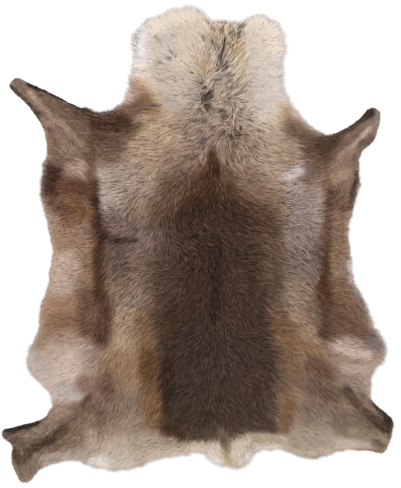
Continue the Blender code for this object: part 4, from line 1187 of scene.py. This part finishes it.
def sown(coat, sowing, random):
    """Roots on a triangular lattice, each moved by up to half a step, where the hair's length and
    the distance from the outline are within the sowing's ranges; with their locks' sizes."""
    low, high = (np.array(corner)[:2] for corner in cad_box)
    roots = lattice_over(low - 0.01, high + 0.01, sowing.step)
    roots = roots + random.uniform(-0.5, 0.5, roots.shape) * sowing.step
    length = coat.length(roots) / MM
    inward = coat.inward(roots)
    kept = (length >= sowing.shortest) & (length < sowing.longest)
    kept &= (inward > ROOT_CLEAR) & (inward < sowing.within)
    roots, length = roots[kept], length[kept] * MM
    count = len(roots)
    guard = random.random(count) < GUARD_SHARE
    length = length * (1 + LOCK_UNEVEN * random.uniform(-1, 1, count))
    width = sowing.width * random.uniform(*LOCK_WIDTHS, count)
    return roots, length * np.where(guard, GUARD_LENGTH, 1), width * np.where(guard, GUARD_WIDTH, 1)


def nearest_clump(places):
    """The nearest of a set of clump centres, and its tone: one centre at random in each square of
    CLUMP_SIZE."""
    cells = (CLUMP_CELLS, CLUMP_CELLS)
    lattice = np.random.default_rng(CLUMP_SEED).uniform(0.1, 0.9, (*cells, 2))
    shade = np.random.default_rng(CLUMP_SEED + 1).uniform(-1, 1, cells)
    home = np.floor(places / CLUMP_SIZE).astype(int)
    best = np.full(len(places), np.inf)
    centre, tone = np.zeros_like(places), np.zeros(len(places))
    for dx in (-1, 0, 1):
        for dy in (-1, 0, 1):
            cell = home + (dx, dy)
            x, y = (cell % CLUMP_CELLS).T
            at = (cell + lattice[y, x]) * CLUMP_SIZE
            off = np.linalg.norm(at - places, axis=1)
            nearer = off < best
            best[nearer], centre[nearer], tone[nearer] = off[nearer], at[nearer], shade[y, x][nearer]
    return centre, tone


def fringe_reach(length, random):
    """How far past the solid's outline each tip may reach: OVERHANG_SHORT, and where the hair is
    long OVERHANG_LONG more for a few and less than nothing for most, so that the rim thins out."""
    thinning = 1 - OVERHANG_THIN * np.sqrt(random.random(len(length)))
    return OVERHANG_SHORT + OVERHANG_LONG * long_share(length) * thinning


def cut_at_rim(coat, roots, way, length, overhang):
    """The locks' lengths, less where their tips would pass the outline by more than overhang: three
    times over, a length is cut to the share that ends there if the way out is straight."""
    root_in = coat.inward(roots)
    for _ in range(3):
        tip_in = coat.inward(roots + way * length[:, None])
        share = ((root_in + overhang) / np.maximum(root_in - tip_in, 1e-6)).clip(LOCK_KEPT, 1)
        length = np.where(tip_in < -overhang, length * share, length)
    return length


def lock_bodies(root, knee, tip, width, calm):
    """The five points of each lock (root, left, top, right, tip) and their normals. At the knee a
    lock is its width across; its normals lean outwards there, and along the lock at both ends."""
    along = unit(tip - root)
    side = unit(np.column_stack((-along[:, 1], along[:, 0], np.zeros(len(root)))))
    rise = np.cross(along, -side)
    half, thick = side * (width / 2)[:, None], rise * (LOCK_HALF * width)[:, None]
    points = np.stack((root, knee + half - thick, knee + thick, knee - half - thick, tip), 1)
    tilt, flank, ends = SIDE_TILT * calm * side, SIDE_TILT * rise, END_TILT * along
    normals = np.stack((rise - ends, flank + tilt, rise, flank - tilt, rise + ends), 1)
    return points, unit(normals)


Locks = namedtuple("Locks", "points normals rough tone shades")


def locks_from(coat, roots, length, width, overhang, random, heading=None):
    """Locks from their roots: their points and normals, how rough the coat is there, their
    clumps' tones, and how light or dark each of their points is.

    The knee is LOCK_KNEE of the length along the hair's way from the root, and the tip the rest of
    the length along the way at the knee, drawn to its clump's centre. Heights are shares of the
    coat's depth, plus the ridges. A heading takes the place of the hair's way and of the clumps.
    """
    count = len(roots)
    stray = random.normal(0, LOCK_STRAY, count)

    def way_at(places):
        """The way that each lock runs there: as headed, or as the hair grows and it strays."""
        if heading is not None:
            return heading_vectors(heading)
        way = coat.way(places)
        return heading_vectors(np.arctan2(way[:, 1], way[:, 0]) + stray)

    way = way_at(roots)
    length = cut_at_rim(coat, roots, way, length, overhang)
    knee = roots + way * (LOCK_KNEE * length)[:, None]
    tip = knee + way_at(knee) * ((1 - LOCK_KNEE) * length)[:, None]
    rough = coat.uneven(roots)[:, 0]
    centre, tone = nearest_clump(tip)
    if heading is None:
        pull = CLUMP_PULL * ramp(length, CLUMP_FROM, CLUMP_FULL, 0.15, 1.2) * rough.clip(0.3, 1.2)
        pull *= coat.inward(tip) > CLUMP_INSIDE
        tip = tip + (centre - tip) * pull[:, None]

    def relief(places, depth):
        """How high the ridges are there, where the coat is that deep."""
        return coat.ridge(places) * RIDGE_HEIGHT * rough * ramp(depth, 0, RIDGE_FULL, 0.1, 1.2)

    root_deep, knee_deep, tip_deep = (coat.height(places) for places in (roots, knee, tip))
    uneven = TIP_LIFT * rough * ramp(tip_deep, 0, LIFT_FULL, 0.15, 1.3) * random.uniform(-1, 1, count)
    knee_z = np.maximum(KNEE_HEIGHT * knee_deep + relief(knee, knee_deep), LOWEST + KNEE_CLEAR * width)
    tip_z = np.maximum(tip_deep + relief(tip, tip_deep) + uneven, LOWEST)

    root = np.column_stack((roots, ROOT_HEIGHT * root_deep))
    knee = np.column_stack((knee, knee_z))
    tip = np.column_stack((tip, tip_z))
    calm = calm_of(coat, roots)
    points, normals = lock_bodies(root, knee, tip, width, calm)
    return Locks(points, normals, rough, tone, np.array(LOCK_TONES) ** calm)


def coat_locks(coat, sowing, random):
    """The locks of a sowing, with their colours. A lock's tone is the coat's colour times e to the
    power of contrast times the sum of its ridge, clump and own tone; dark hairs lie in hollows."""
    roots, length, width = sown(coat, sowing, random)
    overhang = fringe_reach(length, random)
    width = width * np.where(overhang > OVERHANG_SHORT, OVERHANG_FINE, 1)
    locks = locks_from(coat, roots, length, width, overhang, random)
    count = len(roots)
    shown = (2 * locks.points[:, 0] + 3 * locks.points[:, 4])[:, :2] / 5  # where most of it is seen
    away = coat.way(shown) * random.normal(0, COLOUR_STRAY, count)[:, None] * length[:, None]
    colour = linear(coat.colour(locks.points[:, (0, 2, 4), :2] + away[:, None]))
    ridge = coat.ridge(shown)
    darkness = np.exp(-colour.mean((1, 2)) / TONE_LIGHT)
    contrast = locks.rough * (TONE_PALE + (TONE_DARK - TONE_PALE) * darkness)
    single = random.normal(0, LOCK_TONE, count)
    # The ridges' part is painted light on their tops and painted shade in their hollows; the clumps'
    # and single locks' parts vary at random.
    tone = RIDGE_LIGHT_AND_SHADE * ridge + CLUMP_TONE * locks.tone + single
    colour *= np.exp(contrast * tone)[:, None, None]
    locks.shades[:, 4] *= np.exp(contrast * random.normal(0, TIP_TONE, count))
    # Dark hairs in the hollows are partly grizzled hair and partly painted shade in the hollows.
    hollow = 1 / (1 + np.exp((ridge - DARK_HAIR_LEVEL) / DARK_HAIR_SPREAD))
    for patch in GRIZZLE_AND_HOLLOW_SHADE:
        likely = patch_share(patch, shown) * hollow * locks.rough.clip(0, 1)
        dark = random.random(count) < likely
        colour[dark] += DARK_HAIR_SHARE * (linear(patch.colour) - colour[dark])
    return locks.points, locks.normals, colour[:, (0, 1, 1, 1, 2)] * locks.shades[..., None]


def rim_wisps(coat, slope, random):
    """Fine pale hairs that turn out over the rim where the hair is long."""
    roots, length, width = sown(coat, WISPS, random)
    out = coat.way(roots) - WISP_OUTWARD * unit(slope(roots))
    heading = np.arctan2(out[:, 1], out[:, 0]) + random.normal(0, WISP_STRAY, len(roots))
    reach = WISP_REACH * long_share(length) * random.random(len(roots)) ** WISP_RARE
    overhang = OVERHANG_SHORT + reach
    locks = locks_from(coat, roots, WISP_LENGTH * length, width, overhang, random, heading)
    colour = coat.colour(roots)
    # Their paling towards the rim's colour is partly painted light, the glow along the edge.
    colour += WISP_PALE * (np.array(RIM_COLOUR) - colour)
    shades = locks.shades[..., None] ** WISP_SHADE
    return locks.points, locks.normals, linear(colour)[:, None] * shades


def tuft_locks(coat, tuft, random):
    """The strands of a tuft: their roots round its middle, their headings within its fan."""
    count = tuft.strands
    off = random.normal(0, TUFT_SPREAD, (count, 2))
    roots = on_hide(tuft.x, tuft.y) + off * (tuft.reach_x * PIXEL, tuft.reach_y * PIXEL)
    fan = np.radians(tuft.fan) / 2 * random.uniform(-1, 1, count)
    length = tuft.length * MM * random.uniform(*TUFT_LENGTHS, count)
    width = random.uniform(*TUFT_WIDTHS, count)
    heading = math.radians(tuft.heading) + fan
    locks = locks_from(coat, roots, length, width, OVERHANG_SHORT, random, heading)
    points = locks.points + (0, 0, TUFT_RISE)
    colour = linear(tuft.colour) * np.exp(random.normal(0, TUFT_TONE, count))[:, None]
    return points, locks.normals, colour[:, None] * np.array(LOCK_TONES)[None, :, None]


LOCK_FACES = np.array(((4, 3, 1), (0, 1, 3), (4, 1, 2), (4, 2, 3), (0, 2, 1), (0, 3, 2)))
LOCK_MAP = np.array(((0.5, 0.03), (0.06, 0.42), (0.5, 0.42), (0.94, 0.42), (0.5, 0.97)))
MAP_COLUMNS, MAP_ROWS = 256, 128  # places for locks on a strip's map
STREAK_SHIFT, STREAK_CYCLE = 1.7, 97  # between one lock's streaks and the next; until they recur


def add_map(piece, name, corners, faces):
    """Gives the piece a UV map from its points' places on it."""
    places = corners.reshape(-1, 2)[faces.ravel()]
    piece.data.uv_layers.new(name=name).data.foreach_set("uv", places.astype(np.float32).ravel())


def strip_of_hair(name, points, normals, colours):
    """One piece of many locks. On its baking map each lock has a place of its own, laid out as on
    the hide; on its other map all locks lie side by side, for the streaks along them."""
    rows = np.array_split(np.argsort(points[:, 0, 1]), -(-len(points) // MAP_COLUMNS))
    order = np.concatenate([row[np.argsort(points[row, 0, 0])] for row in rows])
    points, normals, colours = points[order], normals[order], colours[order]
    number = np.arange(len(points))
    faces = (LOCK_FACES[None] + 5 * number[:, None, None]).reshape(-1, 3)
    piece = made_mesh(name, points.reshape(-1, 3), faces)
    tint(piece, colours.reshape(-1, 3))
    place = np.stack((number % MAP_COLUMNS, number // MAP_COLUMNS), -1)
    add_map(piece, "OFBake", (place[:, None] + LOCK_MAP) / (MAP_COLUMNS, MAP_ROWS), faces)
    shift = np.stack((STREAK_SHIFT * (number % STREAK_CYCLE), 0 * number), -1)
    add_map(piece, "along_hair", LOCK_MAP + shift[:, None], faces)
    piece.data.normals_split_custom_set_from_vertices(normals.reshape(-1, 3))
    return piece


# ---------------------------------------------------------------- materials


class Value:
    """A shader socket that takes part in sums: an expression on Values adds its Math nodes."""

    def __init__(self, finish, socket):
        self.finish, self.socket = finish, socket

    def maths(self, operation, *terms):
        """A Math node on those terms, numbers or Values."""
        return self.finish.node("ShaderNodeMath", {"operation": operation}, dict(enumerate(terms)))

    def __add__(self, other):
        return self.maths("ADD", self, other)

    def __sub__(self, other):
        return self.maths("SUBTRACT", self, other)

    def __rsub__(self, other):
        return self.maths("SUBTRACT", other, self)

    def __mul__(self, other):
        return self.maths("MULTIPLY", self, other)

    __radd__ = __add__
    __rmul__ = __mul__


class Finish:
    """A material and its nodes."""

    def __init__(self, name):
        self.material = bpy.data.materials.new(name)
        self.material.use_nodes = True
        self.nodes = self.material.node_tree.nodes
        self.shader = self.nodes["Principled BSDF"]

    def node(self, kind, settings, sockets, output=0):
        """A new node: its settings first, then its sockets' values or links. Gives one output."""
        made = self.nodes.new(kind)
        for name, setting in settings.items():
            setattr(made, name, setting)
        self.fill(made, sockets)
        return Value(self, made.outputs[output])

    def fill(self, made, sockets):
        """Links the node's sockets to Values, and sets them to anything else."""
        for name, value in sockets.items():
            if isinstance(value, Value):
                self.material.node_tree.links.new(value.socket, made.inputs[name])
            else:
                made.inputs[name].default_value = value

    def noise(self, vector, scale, detail, roughness):
        """Noise from 0 to 1 on the vector."""
        sockets = {"Vector": vector, "Scale": scale, "Detail": detail, "Roughness": roughness}
        return self.node("ShaderNodeTexNoise", {}, sockets)

    def relief(self, height, strength, distance):
        """Small bumps of that height, for the shader's Normal."""
        sockets = {"Strength": strength, "Distance": distance, "Height": height}
        return self.node("ShaderNodeBump", {}, sockets)

    def toned(self, colour, tone):
        """The colour times a tone that is near 1."""
        return self.node("ShaderNodeVectorMath", {"operation": "SCALE"}, {0: colour, "Scale": tone})

    def finish(self, **sockets):
        """Fills the shader's sockets, named with _ for a space, and gives the material."""
        self.fill(self.shader, {name.replace("_", " "): value for name, value in sockets.items()})
        return self.material


def hair_finish():
    """Hair: the colour painted on the locks, with fine streaks and a fine relief along each."""
    made = Finish("hair")
    colour = made.node("ShaderNodeAttribute", {"attribute_name": "coat"}, {})
    along = made.node("ShaderNodeUVMap", {"uv_map": "along_hair"}, {})
    drawn = made.node("ShaderNodeMapping", {}, {"Vector": along, "Scale": (9.0, 1.3, 1.0)})
    streak = made.noise(drawn, scale=1.0, detail=2.0, roughness=0.6)
    return made.finish(
        Base_Color=made.toned(colour, 0.86 + 0.28 * streak),
        Roughness=0.72 - 0.22 * streak,
        Normal=made.relief(streak, strength=0.35, distance=0.0004),
        Specular_IOR_Level=0.04,
    )


def undercoat_finish():
    """Underwool: the painted colour, mottled, and tangled in relief."""
    made = Finish("undercoat")
    colour = made.node("ShaderNodeAttribute", {"attribute_name": "coat"}, {})
    place = made.node("ShaderNodeTexCoord", {}, {}, "Object")
    mottle = made.noise(place, scale=90.0, detail=4.0, roughness=0.65)
    tangle = made.noise(place, scale=420.0, detail=3.0, roughness=0.6)
    return made.finish(
        Base_Color=made.toned(colour, 0.7 + 0.6 * mottle),
        Roughness=0.85 + 0.1 * tangle,
        Normal=made.relief(0.5 * mottle + 0.5 * tangle, strength=0.8, distance=0.0015),
        Specular_IOR_Level=0.1,
    )


def skin_finish():
    """Tanned skin: buff suede with cloudy tone and a fine nap."""
    made = Finish("skin")
    place = made.node("ShaderNodeTexCoord", {}, {}, "Object")
    cloud = made.noise(place, scale=14.0, detail=3.0, roughness=0.55)
    nap = made.noise(place, scale=900.0, detail=2.0, roughness=0.6)
    buffs = {0: cloud, 6: (0.56, 0.44, 0.31, 1), 7: (0.68, 0.58, 0.44, 1)}  # factor and colours
    colour = made.node("ShaderNodeMix", {"data_type": "RGBA"}, buffs, 2)
    return made.finish(
        Base_Color=made.toned(colour, 0.88 + 0.24 * nap),
        Roughness=0.78 + 0.14 * nap,
        Normal=made.relief(nap, strength=0.4, distance=0.0004),
        Specular_IOR_Level=0.25,
    )


# ---------------------------------------------------------------- making the hide

corners = solid_corners("hide")
coat = coat_of(corners)
rim, rim_edges = floor_rim(corners)
depth_inside = blurred(coat.inward.values, SLOPE_BLURS)
slope = Field(coat.inward.plan, np.stack(np.gradient(depth_inside, PLAN_STEP)[::-1], -1))


def set_in(share):
    """The rim moved up the slope of the distance from the outline, so towards the hide, by that
    share of the hair's length."""
    return rim + unit(slope(rim)) * share * coat.length(rim)[:, None]


def even_top(places):
    """The skin's thickness everywhere."""
    return np.full(len(places), SKIN_THICK)


skin_rim = set_in(SKIN_INSET)
skin = slab("skin", skin_rim, rim_edges, SKIN_STEP, inside_rim(skin_rim, rim_edges), even_top, 0.0)
skin.data.materials.append(skin_finish())

wool_rim = set_in(WOOL_INSET)
wool_inward = inside_rim(wool_rim, rim_edges)


def wool_top(places):
    """WOOL_SHARE of the coat's depth, rounding up from the rim as 1 - WOOL_DROP e^(-distance)."""
    edge = np.exp(-np.maximum(wool_inward(places), 0) / WOOL_EDGE)
    depth = np.maximum(coat.height(places) - SKIN_THICK, WOOL_LEAST)
    return SKIN_THICK + WOOL_SHARE * (1 - WOOL_DROP * edge) * depth


undercoat = slab("undercoat", wool_rim, rim_edges, WOOL_STEP, wool_inward, wool_top, WOOL_BOTTOM)
wool_places = mesh_points(undercoat.data)[:, :2]
# The undercoat is darkened as painted shade in the depth between the locks, less where the coat is
# calm.
shade = WOOL_SHADE ** calm_of(coat, wool_places)
tint(undercoat, shade * COAT_GAIN * linear(coat.colour(wool_places)))
undercoat.data.materials.append(undercoat_finish())

random = np.random.default_rng(HAIR_SEED)
sets = [coat_locks(coat, sowing, random) for sowing in SOWINGS]
sets.append(rim_wisps(coat, slope, random))
sets.extend(tuft_locks(coat, tuft, random) for tuft in TUFTS)
points, normals, colours = (np.concatenate(arrays) for arrays in zip(*sets))

hair = hair_finish()
strips = []
across = np.argsort(points[:, 0, 0], kind="stable")
for name, chosen in zip(STRIPS, np.array_split(across, len(STRIPS))):
    strip = strip_of_hair(name, points[chosen], normals[chosen], COAT_GAIN * colours[chosen])
    strip.data.materials.append(hair)
    strips.append(strip)

for piece in (skin, undercoat, *strips):
    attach(piece, "root")
    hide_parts("hide")
run = np.diff(skin_rim[rim_edges], axis=1)[:, 0]
cut_area = abs(cross(skin_rim[rim_edges[:, 0]], run).sum()) / 2

# ---------------------------------------------------------------- floor, light and camera

FLOOR_HALF = 4.0
FLOOR_Z = -0.0004  # just under the skin
FLOOR_GLOW = 0.12  # the floor is a lit table, so that it stays white beside the hide
LIGHTS = (  # name, place, side in metres and power in watts of each softbox
    ("overhead", (0.3, 0.5, 3.4), 2.4, 75),
    ("window", (-1.9, 1.9, 2.3), 1.4, 45),
)
SKY = 0.55  # strength of the even light from all round
LENS, SENSOR = 100, 36  # millimetres
COAT_LEVEL = 0.012  # the height at which the hide fills the photograph's frame

sides = np.array(((-1, -1), (1, -1), (1, 1), (-1, 1))) * FLOOR_HALF
floor_points = np.column_stack((sides, np.full(4, FLOOR_Z)))
floor = made_mesh("floor", floor_points, np.array(((0, 1, 2), (0, 2, 3))))
floor.data.materials.append(
    Finish("floor").finish(
        Base_Color=(0.84, 0.84, 0.84, 1),
        Roughness=0.9,
        Specular_IOR_Level=0.1,
        Emission_Color=(1, 1, 1, 1),
        Emission_Strength=FLOOR_GLOW,
    )
)

for name, place, side, power in LIGHTS:
    light = bpy.data.lights.new(name, "AREA")
    light.shape, light.size, light.energy = "SQUARE", side, power
    lamp = bpy.data.objects.new(name, light)
    lamp.location = place
    lamp.rotation_euler = (-Vector(place)).to_track_quat("-Z", "Y").to_euler()
    bpy.context.scene.collection.objects.link(lamp)

world = bpy.data.worlds.new("studio")
bpy.context.scene.world = world
world.use_nodes = True
sky = world.node_tree.nodes["Background"].inputs
sky["Color"].default_value = (1, 1, 1, 1)
sky["Strength"].default_value = SKY

camera_data = bpy.data.cameras.new("camera")
camera_data.lens, camera_data.sensor_width = LENS, SENSOR
distance = PHOTO[1] * PIXEL / 2 / (SENSOR / 2 / LENS)
camera = bpy.data.objects.new("camera", camera_data)
camera.location = (*on_hide(PHOTO[0] / 2, PHOTO[1] / 2), distance + COAT_LEVEL)
bpy.context.scene.collection.objects.link(camera)
bpy.context.scene.camera = camera
bpy.context.scene.view_settings.view_transform = "Standard"
